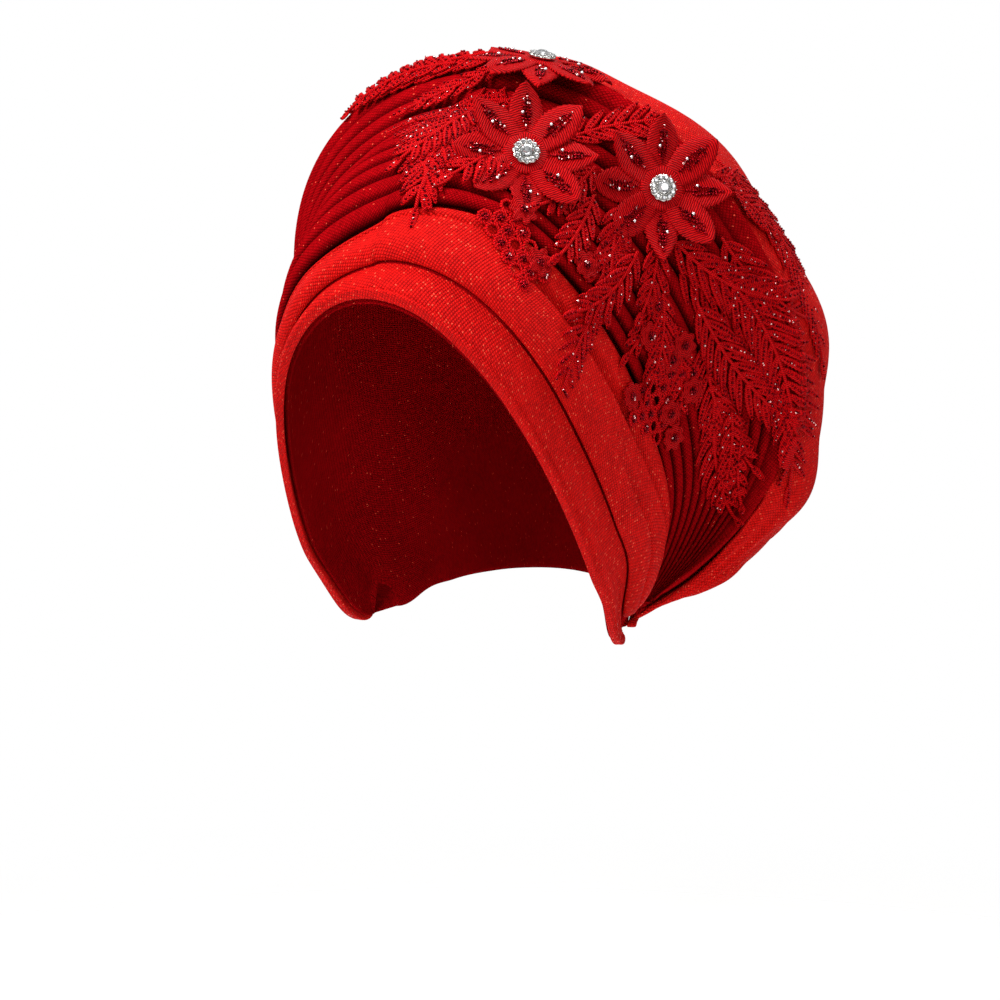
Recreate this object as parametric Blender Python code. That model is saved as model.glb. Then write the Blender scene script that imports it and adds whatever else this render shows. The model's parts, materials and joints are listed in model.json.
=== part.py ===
"""Tied gele head tie: wrapped bands, a pleated halo, a hollow crown and a lace and flower trim.

World frame: the origin is the middle of the wearer's head at brow height, where the head carries the
wrap. +X is the wearer's left, -Y is the way the face looks, +Z is up. Lengths are in metres.

Every fold runs over the head from a point below the wearer's right ear (along = -1) through the
middle (along = 0) to the same point below the left ear (along = 1). Angles around the line between
those two points start at the face (0 degrees), pass the top (90) and end at the nape (180).
"""

from math import asin, atan2, cos, degrees, exp, hypot, pi, radians, sin, sqrt

import bmesh
import bpy
from mathutils import Matrix, Vector
from mathutils.bvhtree import BVHTree

# Head hollow
HEAD_WIDTH = 0.142
HEAD_LENGTH = 0.186
CROWN_HEIGHT = 0.105
JAW_TAPER = 0.200
EAR_ROOM = 0.0075
TIE_BACK = 0.025
TIE_DROP = 0.103
TIE_SWEEP = radians(85)
SWEEP_POWER = 1.5

# Cloth and clearances
CLOTH = 0.0014
FOLD = 0.0026
GAP = 0.0003
SEAT = 0.0009
LIFT = 0.0006
BAND_CLEARANCE = 0.0006
HEM_INSET = 0.003

# Pleated halo
HALO_WIDTH = 0.2350
HALO_HEIGHT = 0.1315
HALO_LEAN = 0.0190
HALO_SWEEP_BACK = 0.0394
HALO_FOOT_WIDTH = 0.1206
RIM_ROLL = 0.0042
RIB_COUNT = 10
RIB_HEIGHT = 0.0021
HALO_SINK = 0.0050
HALO_BODY = 0.0016

# Hollow crown behind the halo
CROWN_BACK = 0.1400
CROWN_WIDTH = 0.2440
NAPE_WIDTH = 0.0110
NAPE_ROLL = 0.0040
CROWN_TIE_STEP = 0.0040
CROWN_TIE_RISE = 0.0010
LANDING_START = 0.72

# Trim
FLOWER_ACROSS = 0.0600
PETALS = 8
PETAL_THICK = 0.0015
SETTING_ACROSS = 0.0112
SETTING_DEEP = 0.0022
SMALL_STONES = 11
CRYSTAL_ACROSS = 0.0056
CRYSTAL_FACETS = 12
FLORET_ACROSS = 0.0110
FLORET_PETALS = 6
LACE_THICK = 0.0014
STEM_WIDTH = 0.0026
NET_CELL = 0.0062
NET_BAR = 0.0018

# Sections along the wrap, and the most steps that seating a piece may take
WRAP_SECTIONS = 25
PRESS_STEPS = 40

# Where each fold's edge runs: degrees around the tie line, a row for each section along the wrap.
EDGE_COLUMNS = ("along", "hem", "crease", "second", "foot", "nape")
EDGES = (
    (-1.00, -60.0, 10.0, 70.0, 150.0, 205.0),
    (-0.85, 10.0, 40.0, 88.0, 118.0, 174.0),
    (-0.70, 30.5, 44.0, 64.0, 80.0, 169.0),
    (-0.50, 43.5, 49.5, 55.5, 59.5, 168.0),
    (-0.25, 50.4, 53.4, 56.0, 57.6, 168.0),
    (0.00, 51.8, 55.7, 59.4, 61.0, 168.0),
    (0.25, 50.4, 56.4, 63.5, 65.4, 168.0),
    (0.50, 43.5, 54.7, 68.5, 72.5, 168.0),
    (0.70, 30.5, 52.5, 81.0, 92.0, 169.0),
    (0.85, 10.0, 48.0, 104.0, 119.0, 174.0),
    (1.00, -60.0, 10.0, 70.0, 150.0, 205.0),
)

# Arches of the crown, from the rim to the nape: y and z of the middle as shares of CROWN_BACK and
# HALO_HEIGHT, width as a share of CROWN_WIDTH, and how far the sides swing back, as a share of
# HALO_SWEEP_BACK. "tie" is how far each arch's end lies behind the tie point, as a share of TIE_BACK.
CROWN_COLUMNS = ("back", "up", "wide", "swing", "tie")
CROWN_ARCHES = (
    (0.175, 1.020, 0.978, 1.00, 0.45),
    (0.370, 1.020, 1.000, 0.93, 0.55),
    (0.620, 0.910, 1.005, 0.78, 0.68),
    (0.840, 0.700, 0.985, 0.60, 0.80),
    (0.970, 0.390, 0.930, 0.42, 0.92),
    (1.000, 0.040, 0.840, 0.30, 1.05),
    (0.910, -0.310, 0.730, 0.15, 1.18),
    (0.760, -0.500, 0.620, 0.00, 1.30),
)

# Places on the bed that the trim lies on: along the wrap, and across it from the crease (0) over the
# second band's edge (1) and the halo's rim (2) to the back of the crown (3). "turn" is in degrees.
FLOWERS = (
    # name, along, across, turn, tilt to the front in degrees, cup of the petals
    ("left", 0.190, 1.44, 8.0, 24.0, 0.060),
    ("right", 0.335, 1.74, 22.0, 6.0, 0.060),
    ("top", 0.085, 1.93, 4.0, -30.0, -0.070),
)
FLORETS = (
    # name, along, across, layer of trim that it lies on
    ("floret_1", 0.350, 1.00, 1),
    ("floret_2", 0.540, 1.24, 1),
    ("floret_3", 0.605, 1.12, 1),
)
PLUMES = (
    # name, start along, start across, end along, end across, bow, leaf length, leaf pairs, layer
    ("lace_plume_left", 0.010, 1.74, 0.095, 1.06, -0.08, 0.32, 7, 0),
    ("lace_spray_rim", 0.040, 1.99, -0.230, 1.97, 0.05, 0.22, 6, 0),
    ("lace_plume_right", 0.440, 1.50, 0.790, 1.88, 0.12, 0.20, 8, 0),
    ("lace_plume_side", 0.440, 1.26, 0.490, 0.36, -0.10, 0.30, 7, 0),
    ("lace_spray_crown", 0.430, 1.72, 0.560, 2.12, -0.08, 0.28, 5, 1),
    ("lace_spray_back", 0.330, 2.14, 0.590, 2.52, 0.04, 0.22, 6, 0),
)
NETS = (
    # name, along, across, turn, columns, rows
    ("lace_net_front", 0.310, 0.98, -30.0, 6, 3),
    ("lace_net_side", 0.575, 1.10, -62.0, 5, 4),
)

RED = (0.62, 0.010, 0.016)
DEEP_RED = (0.40, 0.006, 0.014)
LACE_RED = (0.55, 0.012, 0.022)
SILVER = (0.80, 0.80, 0.82)
CRYSTAL = (0.90, 0.93, 0.96)


def table_value(table, columns, name, at):
    """A column's value at a place along the wrap, on a smooth curve through the rows."""
    column = columns.index(name)
    rows = [(row[0], row[column]) for row in table]
    return curve_value(rows, at)


def curve_value(rows, at):
    """A Catmull-Rom curve through (place, value) rows."""
    last = len(rows) - 1
    i = 0
    while i < last - 1 and at > rows[i + 1][0]:
        i += 1
    before, start, end, after = (rows[min(max(k, 0), last)] for k in (i - 1, i, i + 1, i + 2))
    span = end[0] - start[0]
    t = (at - start[0]) / span
    rise_in = (end[1] - before[1]) / (end[0] - before[0]) * span
    rise_out = (after[1] - start[1]) / (after[0] - start[0]) * span
    return (
        (2 * t**3 - 3 * t**2 + 1) * start[1]
        + (t**3 - 2 * t**2 + t) * rise_in
        + (3 * t**2 - 2 * t**3) * end[1]
        + (t**3 - t**2) * rise_out
    )


def edge(name, along):
    return table_value(EDGES, EDGE_COLUMNS, name, along)


def tie_point():
    return Vector((0, TIE_BACK, -TIE_DROP))


def wrap_direction(along, around):
    """The way out from the middle of the tie line at a place on the wrap."""
    side = TIE_SWEEP * (1 if along > 0 else -1) * abs(along) ** SWEEP_POWER
    turn = radians(around)
    return Vector((sin(side), -cos(side) * cos(turn), cos(side) * sin(turn)))


def reach(origin, way, height):
    """How far the head's surface, grown by a height, lies from a point inside it."""
    half = (HEAD_WIDTH / 2 + height, HEAD_LENGTH / 2 + height)
    for up in (JAW_TAPER + height, CROWN_HEIGHT + height):
        sizes = (half[0], half[1], up)
        a = sum((way[k] / sizes[k]) ** 2 for k in range(3))
        b = sum(2 * way[k] * origin[k] / sizes[k] ** 2 for k in range(3))
        c = sum((origin[k] / sizes[k]) ** 2 for k in range(3)) - 1
        distance = (-b + sqrt(max(b * b - 4 * a * c, 0))) / (2 * a)
        if origin[2] + way[2] * distance <= 0:
            return distance
    return distance


def ear_room(along, around):
    """Extra height where the wrap passes over an ear."""
    return EAR_ROOM * exp(-(((abs(along) - 0.80) / 0.17) ** 2) - ((around - 88) / 42) ** 2)


def wrap_point(along, around, height):
    """A point of the wrap, at a height over the head."""
    way = wrap_direction(along, around)
    origin = tie_point()
    return origin + way * reach(origin, way, height + ear_room(along, around))


def arch_point(along, arch):
    """A point of a free-standing arch: middle y and z, end x, y and z, half width, swing back."""
    mid_y, mid_z, end_x, end_y, end_z, half, swing = arch
    rise = hypot(mid_y - end_y, mid_z - end_z)
    up = ((mid_y - end_y) / rise, (mid_z - end_z) / rise)
    half = max(half, end_x * 1.001)
    low = sqrt(1 - (end_x / half) ** 2)
    turn = along * (pi - asin(end_x / half))
    share = (low + cos(turn)) / (1 + low)
    out = 6.75 * swing * share * (1 - share) ** 2
    return Vector(
        (
            half * sin(turn),
            end_y + rise * share * up[0] + out * up[1],
            end_z + rise * share * up[1] - out * up[0],
        )
    )


def rim_arch(grow=0.0):
    """The arch that the middle of the halo's rim roll follows."""
    return (
        HALO_LEAN,
        HALO_HEIGHT + grow,
        HALO_FOOT_WIDTH / 2,
        TIE_BACK * 1.28,
        -TIE_DROP + RIM_ROLL,
        HALO_WIDTH / 2 + grow,
        HALO_SWEEP_BACK,
    )


def crown_arch(place):
    """An arch of the crown; place runs from 0 at the rim to 1 at the nape."""
    rows = [(k / (len(CROWN_ARCHES) - 1), *row) for k, row in enumerate(CROWN_ARCHES)]
    columns = ("place", *CROWN_COLUMNS)
    back, up, wide, swing, tie = (
        table_value(rows, columns, name, place) for name in CROWN_COLUMNS
    )
    return (
        back * CROWN_BACK,
        up * HALO_HEIGHT,
        HALO_FOOT_WIDTH / 2 - CROWN_TIE_STEP * place,
        TIE_BACK * (1 + tie),
        -TIE_DROP + CROWN_TIE_RISE + CROWN_TIE_STEP * place,
        wide * CROWN_WIDTH / 2,
        swing * HALO_SWEEP_BACK,
    )


def cloth_material(name, colour, roughness=0.75, metallic=0.0):
    material = bpy.data.materials.new(name)
    material.use_nodes = True
    shader = material.node_tree.nodes["Principled BSDF"]
    shader.inputs["Base Color"].default_value = (*colour, 1)
    shader.inputs["Roughness"].default_value = roughness
    shader.inputs["Metallic"].default_value = metallic
    material.diffuse_color = (*colour, 1)
    return material


def add_object(name, mesh, material, collection):
    thing = bpy.data.objects.new(name, mesh)
    mesh.materials.append(material)
    collection.objects.link(thing)
    return thing


def loft(name, rings, material, collection, smooth=True):
    """A closed solid through equal closed rings, with a cap at each end."""
    shape = bmesh.new()
    rows = [[shape.verts.new(point) for point in ring] for ring in rings]
    count = len(rings[0])
    for low, high in zip(rows, rows[1:]):
        for k in range(count):
            n = (k + 1) % count
            shape.faces.new((low[k], low[n], high[n], high[k]))
    shape.faces.new(rows[0])
    shape.faces.new(rows[-1])
    bmesh.ops.triangulate(shape, faces=list(shape.faces)[-2:])
    bmesh.ops.recalc_face_normals(shape, faces=shape.faces)
    mesh = bpy.data.meshes.new(name)
    shape.to_mesh(mesh)
    shape.free()
    for face in mesh.polygons:
        face.use_smooth = smooth
    return add_object(name, mesh, material, collection)


def stations(count, inset=0.0):
    return [-1 + inset + (2 - 2 * inset) * k / (count - 1) for k in range(count)]


def wrapped_ring(along, start, end, profile):
    """A closed section of a fold; profile rows are (share across, height over the head)."""
    return [
        wrap_point(along, start + (end - start) * share, height) for share, height in profile
    ]


def angle_for(length, along, around, height=0.004):
    """The degrees around the tie line that a length across the wrap takes."""
    away = wrap_point(along, around, height) - tie_point()
    return degrees(length / max(hypot(away.y, away.z), 0.008))


def build_cap(material, collection):
    """The cap that seats on the head; it shows between the second band and the pleats."""
    steps = 15
    outer = [(k / steps, CLOTH) for k in range(steps + 1)]
    inner = [(1 - k / 7, 0.0) for k in range(8)]
    rings = []
    for along in stations(WRAP_SECTIONS, 0.02):
        start = edge("hem", along) + angle_for(HEM_INSET, along, edge("hem", along))
        end = edge("nape", along)
        rings.append(wrapped_ring(along, start, end, outer + inner))
    return loft("cap", rings, material, collection)


def build_band(name, first, last, profile, material, collection, clear_last=0.0, clear_first=0.0):
    rings = []
    for along in stations(WRAP_SECTIONS):
        start = edge(first, along)
        start += angle_for(clear_first, along, start)
        end = edge(last, along)
        end -= angle_for(clear_last, along, end)
        rings.append(wrapped_ring(along, start, end, profile))
    return loft(name, rings, material, collection)


def rest_on_head(point, height):
    """The point, pushed out to a height over the head where it lies lower."""
    away = point - tie_point()
    way = away.normalized()
    side = asin(max(-1, min(1, way.x)))
    along = (abs(side) / TIE_SWEEP) ** (1 / SWEEP_POWER) * (1 if side > 0 else -1)
    around = degrees(atan2(way.z, -way.y))
    least = reach(tie_point(), way, height + ear_room(along, around))
    return tie_point() + way * max(away.length, least)


def halo_frame(along):
    """The foot and the rim of the pleats, the way across, the way out of their face, the rib height."""
    foot = wrap_point(along, edge("foot", along), CLOTH + SEAT + HALO_BODY)
    rim = arch_point(along, rim_arch())
    side = 0.02 if along < 0 else -0.02
    ahead = (arch_point(along + side, rim_arch()) - rim) * (1 if side > 0 else -1)
    across = rim - foot
    front = ahead.cross(across).normalized()
    if front.y > 0:
        front = -front
    ribs_end = 1 - 1.2 * RIM_ROLL / across.length
    rib = min(RIB_HEIGHT, 0.42 * across.length * ribs_end / RIB_COUNT)
    return foot, rim, across, front, ribs_end, rib


def halo_face(frame, share, height):
    """A point of the pleats' face at a share from foot to rim, raised by a height."""
    foot, _, across, front, _, _ = frame
    sink = HALO_SINK * min(1, across.length / 0.04)
    base = foot + across * share - front * sink * sin(pi * share)
    return rest_on_head(base, CLOTH + 1.5 * SEAT + HALO_BODY) + front * height


def halo_section(along):
    """The pleated halo's section: ribs in front, then the rim's roll and the plain back."""
    frame = halo_frame(along)
    foot, rim, across, front, ribs_end, rib = frame
    flat = across.normalized()
    points = []
    for k in range(RIB_COUNT):
        for share, height in ((0.0, 0.0), (0.30, 0.9), (0.70, 0.9)):
            points.append(halo_face(frame, ribs_end * (k + share) / RIB_COUNT, rib * height))
    roll = min(RIM_ROLL, 0.22 * across.length)
    for turn in (-100, -50, 0, 50, 110):
        spot = radians(turn)
        points.append(rim + flat * roll * cos(spot) - front * roll * sin(spot) * 0.9)
    sink = HALO_SINK * min(1, across.length / 0.04)
    body = min(HALO_BODY, 0.3 * across.length)
    for u in (0.84, 0.68, 0.52, 0.36, 0.20, 0.04):
        base = foot + across * u - front * (sink * sin(pi * u) + body)
        points.append(rest_on_head(base, CLOTH + 1.5 * SEAT))
    return points


def build_halo(material, collection):
    rings = [halo_section(along) for along in stations(WRAP_SECTIONS)]
    return loft("pleated_halo", rings, material, collection)


def nape_top(along, above=0.0):
    """The angle of the nape band's upper edge, or of a place above it by a length."""
    end = edge("nape", along)
    widest = 0.45 * (end - edge("foot", along))
    return end - min(angle_for(NAPE_WIDTH, along, end), widest) - min(
        angle_for(above, along, end), 0.12 * widest
    )


def crown_point(along, place):
    """A point of the crown's outer face, which lands on the cap above the nape band."""
    spot = arch_point(along, crown_arch(place))
    landing = max(0, (place - LANDING_START) / (1 - LANDING_START))
    blend = landing * landing * (3 - 2 * landing)
    around = nape_top(along, 2 * SEAT)
    return spot.lerp(wrap_point(along, around, 2 * CLOTH + SEAT), blend)


def crown_outline(along, inside):
    """The crown's section from the rim to the nape, on its outer or its inner face."""
    steps = 8 if inside else 12
    middle = Vector((0, TIE_BACK, 0))
    points = []
    for k in range(steps + 1):
        place = k / steps
        spot = crown_point(along, place)
        lower = crown_point(along, min(place + 0.03, 1))
        upper = crown_point(along, max(place - 0.03, 0))
        left = crown_point(min(along + 0.02, 1), place)
        right = crown_point(max(along - 0.02, -1), place)
        out = (left - right).cross(lower - upper)
        out.normalize()
        if out.dot(spot - middle) < 0:
            out = -out
        points.append(spot - out * (CLOTH if inside else 0))
    return points


def build_crown(material, collection):
    rings = []
    for along in stations(WRAP_SECTIONS):
        rings.append(crown_outline(along, False) + crown_outline(along, True)[::-1])
    return loft("crown_back", rings, material, collection)


def build_nape(material, collection):
    rings = []
    bottom = CLOTH + SEAT
    profile = (
        (0.0, bottom), (0.1, bottom + NAPE_ROLL * 0.7), (0.5, bottom + NAPE_ROLL),
        (0.9, bottom + NAPE_ROLL * 0.8), (1.0, bottom + NAPE_ROLL * 0.3), (0.9, bottom),
    )
    for along in stations(WRAP_SECTIONS):
        end = edge("nape", along)
        start = nape_top(along)
        rings.append(wrapped_ring(along, start, end, profile))
    return loft("nape_band", rings, material, collection)


def bed_point(along, across):
    """A point of the smooth bed over bands, pleats and crown that the trim is cut to."""
    crest = CLOTH + SEAT + 1.55 * FOLD
    if across <= 1:
        start = edge("crease", along)
        around = start + (edge("second", along) - start) * across
        return wrap_point(along, around, crest)
    if across <= 2:
        rim = arch_point(along, rim_arch(RIM_ROLL + LIFT))
        top = wrap_point(along, edge("second", along), crest)
        spot = top.lerp(rim, across - 1)
        return rest_on_head(spot, CLOTH + 2 * SEAT + HALO_BODY + 1.5 * RIB_HEIGHT)
    spot = crown_point(along, 0.03 + 0.42 * (across - 2))
    away = (spot - tie_point()).normalized()
    return spot + away * 2 * LIFT * max(0, 1 - 3 * (across - 2))


def bed_tree():
    """The bed as a mesh to cast rays at; it isn't an object."""
    sides, deep = 64, 48
    points = []
    faces = []
    for i in range(sides + 1):
        for j in range(deep + 1):
            points.append(bed_point(-0.9 + 1.8 * i / sides, 3 * j / deep))
    for i in range(sides):
        for j in range(deep):
            k = i * (deep + 1) + j
            faces.append((k, k + 1, k + deep + 2, k + deep + 1))
    return BVHTree.FromPolygons(points, faces)


def bed_frame(along, across):
    """The place, the way along the wrap, the way back and the way out of the bed."""
    spot = bed_point(along, across)
    side = (bed_point(along + 0.01, across) - bed_point(along - 0.01, across)).normalized()
    back = bed_point(along, across + 0.05) - bed_point(along, across - 0.05)
    out = side.cross(back).normalized()
    if out.dot(spot - tie_point()) < 0:
        out = -out
    return spot, side, out.cross(side).normalized(), out


def laid_on_bed(tree, frame, x, y, height):
    """A flat pattern's point, dropped onto the bed and raised to a height over it."""
    spot, side, back, out = frame
    start = spot + side * x + back * y + out * 0.060
    place, normal, _, _ = tree.ray_cast(start, -out, 0.2)
    if place is None:
        place, normal, _, _ = tree.find_nearest(start - out * 0.060)
    if normal.dot(out) < 0:
        normal = -normal
    return place + normal * height


def solid_tree(things):
    """One search tree over the faces of several objects."""
    points = []
    faces = []
    for thing in things:
        first = len(points)
        points += [vertex.co.copy() for vertex in thing.data.vertices]
        faces += [[first + k for k in face.vertices] for face in thing.data.polygons]
    return BVHTree.FromPolygons(points, faces)


def slide(things, step):
    for thing in things:
        thing.data.transform(Matrix.Translation(step))


def press_down(things, way, below):
    """Seat a group of pieces: out until it is free of what lies below, then in until it is close."""
    cloth = solid_tree(below)
    step = way * GAP
    for _ in range(PRESS_STEPS):
        if not solid_tree(things).overlap(cloth):
            break
        slide(things, -step)
    for _ in range(PRESS_STEPS):
        slide(things, step)
        if solid_tree(things).overlap(cloth):
            break
    slide(things, -step)


def flat_pattern(name, outlines, thickness):
    """A flat mesh cut from a sheet: the first outline is the edge, the others are holes."""
    curve = bpy.data.curves.new(name, "CURVE")
    curve.dimensions = "2D"
    curve.fill_mode = "BOTH"
    curve.extrude = thickness / 2
    for outline in outlines:
        spline = curve.splines.new("POLY")
        spline.points.add(len(outline) - 1)
        for point, (x, y) in zip(spline.points, outline):
            point.co = (x, y, 0, 1)
        spline.use_cyclic_u = True
    pattern = bpy.data.objects.new(name, curve)
    mesh = bpy.data.meshes.new_from_object(pattern)
    bpy.data.objects.remove(pattern)
    bpy.data.curves.remove(curve)
    shape = bmesh.new()
    shape.from_mesh(mesh)
    bmesh.ops.remove_doubles(shape, verts=shape.verts, dist=0.00001)
    bmesh.ops.recalc_face_normals(shape, faces=shape.faces)
    sheet = [face for face in shape.faces if abs(face.normal.z) > 0.9]
    inner = [line for line in shape.edges if all(abs(f.normal.z) > 0.9 for f in line.link_faces)]
    bmesh.ops.beautify_fill(shape, faces=sheet, edges=inner)
    shape.to_mesh(mesh)
    shape.free()
    return mesh


def layer_height(layer):
    """How high the underside of a layer of trim lies over the bed."""
    return LIFT + layer * (LACE_THICK + 2 * GAP)


def lay_lace(name, outlines, frame, turn, tree, material, collection, layer=0):
    """Lace cut from a flat sheet, turned about its frame and laid on the bed."""
    middle = layer_height(layer) + LACE_THICK / 2
    mesh = flat_pattern(name, outlines, LACE_THICK)
    spin = radians(turn)
    for vertex in mesh.vertices:
        x, y, z = vertex.co
        flat = (x * cos(spin) - y * sin(spin), x * sin(spin) + y * cos(spin))
        vertex.co = laid_on_bed(tree, frame, *flat, middle + z)
    return add_object(name, mesh, material, collection)


def plume_outline(length, bow, leaf_length, pairs):
    """A stem with lens-shaped leaflets on both sides, walked as one outline."""
    pitch = length * 0.86 / pairs
    lean = radians(38)

    def stem(x, side):
        share = min(max(x / length + 0.5, 0), 1)
        middle = 4 * bow * length * share * (1 - share)
        return (x, middle + side * 0.5 * STEM_WIDTH * (1 - 0.5 * share))

    def leaf(x, side, share):
        root = stem(x, side)
        away = stem(x + 0.44 * pitch, side)
        size = leaf_length * length * (0.55 + 0.45 * sin(pi * min(share + 0.15, 1)))
        way = (cos(lean), side * sin(lean))
        wide = 0.17 * pitch * 1.6
        swell = (root[0] + way[0] * size * 0.5 - abs(way[1]) * wide * 0.6,
                 root[1] + way[1] * size * 0.5 + side * wide * 0.5)
        tip = (root[0] + way[0] * size, root[1] + way[1] * size)
        inner = (away[0] + way[0] * size * 0.42, away[1] + way[1] * size * 0.42 - side * wide * 0.2)
        return [root, swell, tip, inner, away]

    upper = []
    lower = []
    for k in range(pairs):
        x = -0.5 * length + 0.06 * length + k * pitch
        upper += leaf(x, 1, k / pairs)
        lower += leaf(x, -1, k / pairs)
    start = stem(-0.5 * length, 1), stem(-0.5 * length, -1)
    end = stem(0.5 * length, 0)
    return [start[0]] + upper + [end] + lower[::-1] + [start[1]]


def plume_frame(row):
    """The bed's frame halfway between a plume's two ends."""
    _, start_along, start_across, end_along, end_across = row[:5]
    return bed_frame((start_along + end_along) / 2, (start_across + end_across) / 2)


def build_plume(row, tree, material, collection):
    name, start_along, start_across, end_along, end_across, bow, leaf_length, pairs, layer = row
    start = bed_point(start_along, start_across)
    end = bed_point(end_along, end_across)
    frame = plume_frame(row)
    _, side, back, _ = frame
    run = end - start
    turn = degrees(atan2(run.dot(back), run.dot(side)))
    length = hypot(run.dot(back), run.dot(side))
    outline = plume_outline(length, bow, leaf_length, pairs)
    return lay_lace(name, [outline], frame, turn, tree, material, collection, layer)


def net_outlines(columns, rows):
    """A net of hexagonal gaps inside a scalloped edge."""
    gap = (NET_CELL - NET_BAR) / 2
    step = NET_CELL * 0.88
    holes = []
    centres = []
    for j in range(rows):
        for i in range(columns - (j % 2)):
            x = (i - (columns - 1) / 2 + 0.5 * (j % 2)) * NET_CELL
            y = (j - (rows - 1) / 2) * step
            centres.append((x, y))
            holes.append(
                [(x + gap * cos(pi * k / 3 + pi / 6), y + gap * sin(pi * k / 3 + pi / 6)) for k in range(6)]
            )
    half_wide = (columns - 1) / 2 * NET_CELL + NET_CELL * 0.64
    half_high = (rows - 1) / 2 * step + NET_CELL * 0.70
    outline = []
    scallops = 2 * (columns + rows)
    for k in range(2 * scallops):
        turn = pi * k / scallops
        box = (abs(cos(turn)) / half_wide) ** 5 + (abs(sin(turn)) / half_high) ** 5
        size = box ** (-1 / 5) * (1.0 if k % 2 else 1.12)
        outline.append((size * cos(turn), size * sin(turn)))
    return [outline] + holes


def build_net(row, tree, material, collection):
    name, along, across, turn, columns, rows = row
    frame = bed_frame(along, across)
    return lay_lace(name, net_outlines(columns, rows), frame, turn, tree, material, collection)


def petal_reach(turn, petals, notch):
    """How far a flower with pointed petals reaches at an angle, as a share of its radius."""
    part = (turn * petals / (2 * pi)) % 1
    off = abs(part - 0.5) * 2
    return 1 - (1 - notch) * off**2.2


def flower_frame(along, across, turn, tilt):
    spot, side, back, out = bed_frame(along, across)
    lean = radians(tilt)
    out_tilted = (out * cos(lean) - back * sin(lean)).normalized()
    back_tilted = out_tilted.cross(side).normalized()
    spin = radians(turn)
    ahead = side * cos(spin) + back_tilted * sin(spin)
    rise = LIFT + 0.5 * SETTING_ACROSS * abs(sin(lean)) + 2 * GAP
    return spot + out * rise, ahead, out_tilted.cross(ahead), out_tilted


def build_rosette(name, frame, form, layer, tree, material, collection):
    """A cupped flower: rings from the middle to the petals' outline, top and underside."""
    spot, ahead, across, out = frame
    size, petals, steps_each, notch, cup, thickness, shares = form
    steps = steps_each * petals

    def point(share, turn, height):
        reach_out = size / 2 * share * (notch + (petal_reach(turn, petals, notch) - notch) * share)
        if share < 0.5:
            reach_out = size / 2 * share * 0.8
        cupped = cup * share**2
        place = spot + ahead * reach_out * cos(turn) + across * reach_out * sin(turn)
        place = place + out * cupped
        floor, normal, _, _ = tree.find_nearest(place)
        if normal.dot(out) < 0:
            normal = -normal
        over = (place - floor).dot(normal)
        least = LIFT + (layer_height(layer) - LIFT) * min(1, 2 * share)
        if over < least:
            place = floor + normal * least
        return place + out * height

    shape = bmesh.new()
    middles = [shape.verts.new(point(0, 0, height)) for height in (thickness, 0)]
    sheets = []
    for height in (thickness, 0):
        rows = []
        for share in shares:
            rows.append(
                [shape.verts.new(point(share, 2 * pi * k / steps, height)) for k in range(steps)]
            )
        sheets.append(rows)
    for k in range(steps):
        n = (k + 1) % steps
        for middle, rows in zip(middles, sheets):
            shape.faces.new((middle, rows[0][k], rows[0][n]))
            for low, high in zip(rows, rows[1:]):
                shape.faces.new((low[k], high[k], high[n], low[n]))
        top, under = sheets[0][-1], sheets[1][-1]
        shape.faces.new((top[k], under[k], under[n], top[n]))
    bmesh.ops.recalc_face_normals(shape, faces=shape.faces)
    mesh = bpy.data.meshes.new(name)
    shape.to_mesh(mesh)
    shape.free()
    return add_object(name, mesh, material, collection)


def seat_on(flower, frame, radius):
    """The flower's frame moved out until it clears the flower's middle by a gap."""
    spot, ahead, across, out = frame
    heights = []
    for vertex in flower.data.vertices:
        away = vertex.co - spot
        rise = away.dot(out)
        if (away - out * rise).length < radius:
            heights.append(rise)
    return spot + out * (max(heights) + GAP), ahead, across, out


def turned_solid(name, rings, frame, steps, material, collection):
    """A solid of stacked rings; a row is (radius, height, wave), wave scallops the ring."""
    spot, ahead, across, out = frame
    shape = bmesh.new()
    rows = []
    for radius, height, wave in rings:
        row = []
        for k in range(steps):
            turn = 2 * pi * k / steps
            reach_out = radius * (1 + wave * (1 if k % 2 else -1))
            row.append(
                shape.verts.new(
                    spot + ahead * reach_out * cos(turn) + across * reach_out * sin(turn) + out * height
                )
            )
        rows.append(row)
    for low, high in zip(rows, rows[1:]):
        for k in range(steps):
            n = (k + 1) % steps
            shape.faces.new((low[k], low[n], high[n], high[k]))
    for row in (rows[0], rows[-1]):
        shape.faces.new(row)
    bmesh.ops.recalc_face_normals(shape, faces=shape.faces)
    mesh = bpy.data.meshes.new(name)
    shape.to_mesh(mesh)
    shape.free()
    return add_object(name, mesh, material, collection)


def build_setting(name, frame, material, collection):
    """The metal cup with its ring of small stones fused on, open in the middle for the crystal."""
    radius = SETTING_ACROSS / 2
    stone = pi * radius * 0.78 / SMALL_STONES
    cup = turned_solid(
        name,
        (
            (radius * 0.94, 0.0, 0.0),
            (radius * 0.94, SETTING_DEEP * 0.8, 0.0),
            (CRYSTAL_ACROSS / 2 + GAP, SETTING_DEEP * 0.8, 0.0),
            (CRYSTAL_ACROSS / 2 + GAP, SETTING_DEEP * 0.35, 0.0),
        ),
        frame,
        SMALL_STONES,
        material,
        collection,
    )
    spot, ahead, across, out = frame
    for k in range(SMALL_STONES):
        turn = 2 * pi * (k + 0.5) / SMALL_STONES
        place = spot + (ahead * cos(turn) + across * sin(turn)) * radius * 0.78
        place = place + out * SETTING_DEEP * 0.62
        bead = turned_solid(
            name + "_stone",
            ((stone, 0.0, 0.0), (stone * 0.5, stone * 0.9, 0.0)),
            (place, ahead, across, out),
            5,
            material,
            collection,
        )
        joined = cup.modifiers.new("stone", "BOOLEAN")
        joined.operation = "UNION"
        joined.solver = "EXACT"
        joined.object = bead
        settle(cup)
        bpy.data.objects.remove(bead)
    return cup


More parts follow.
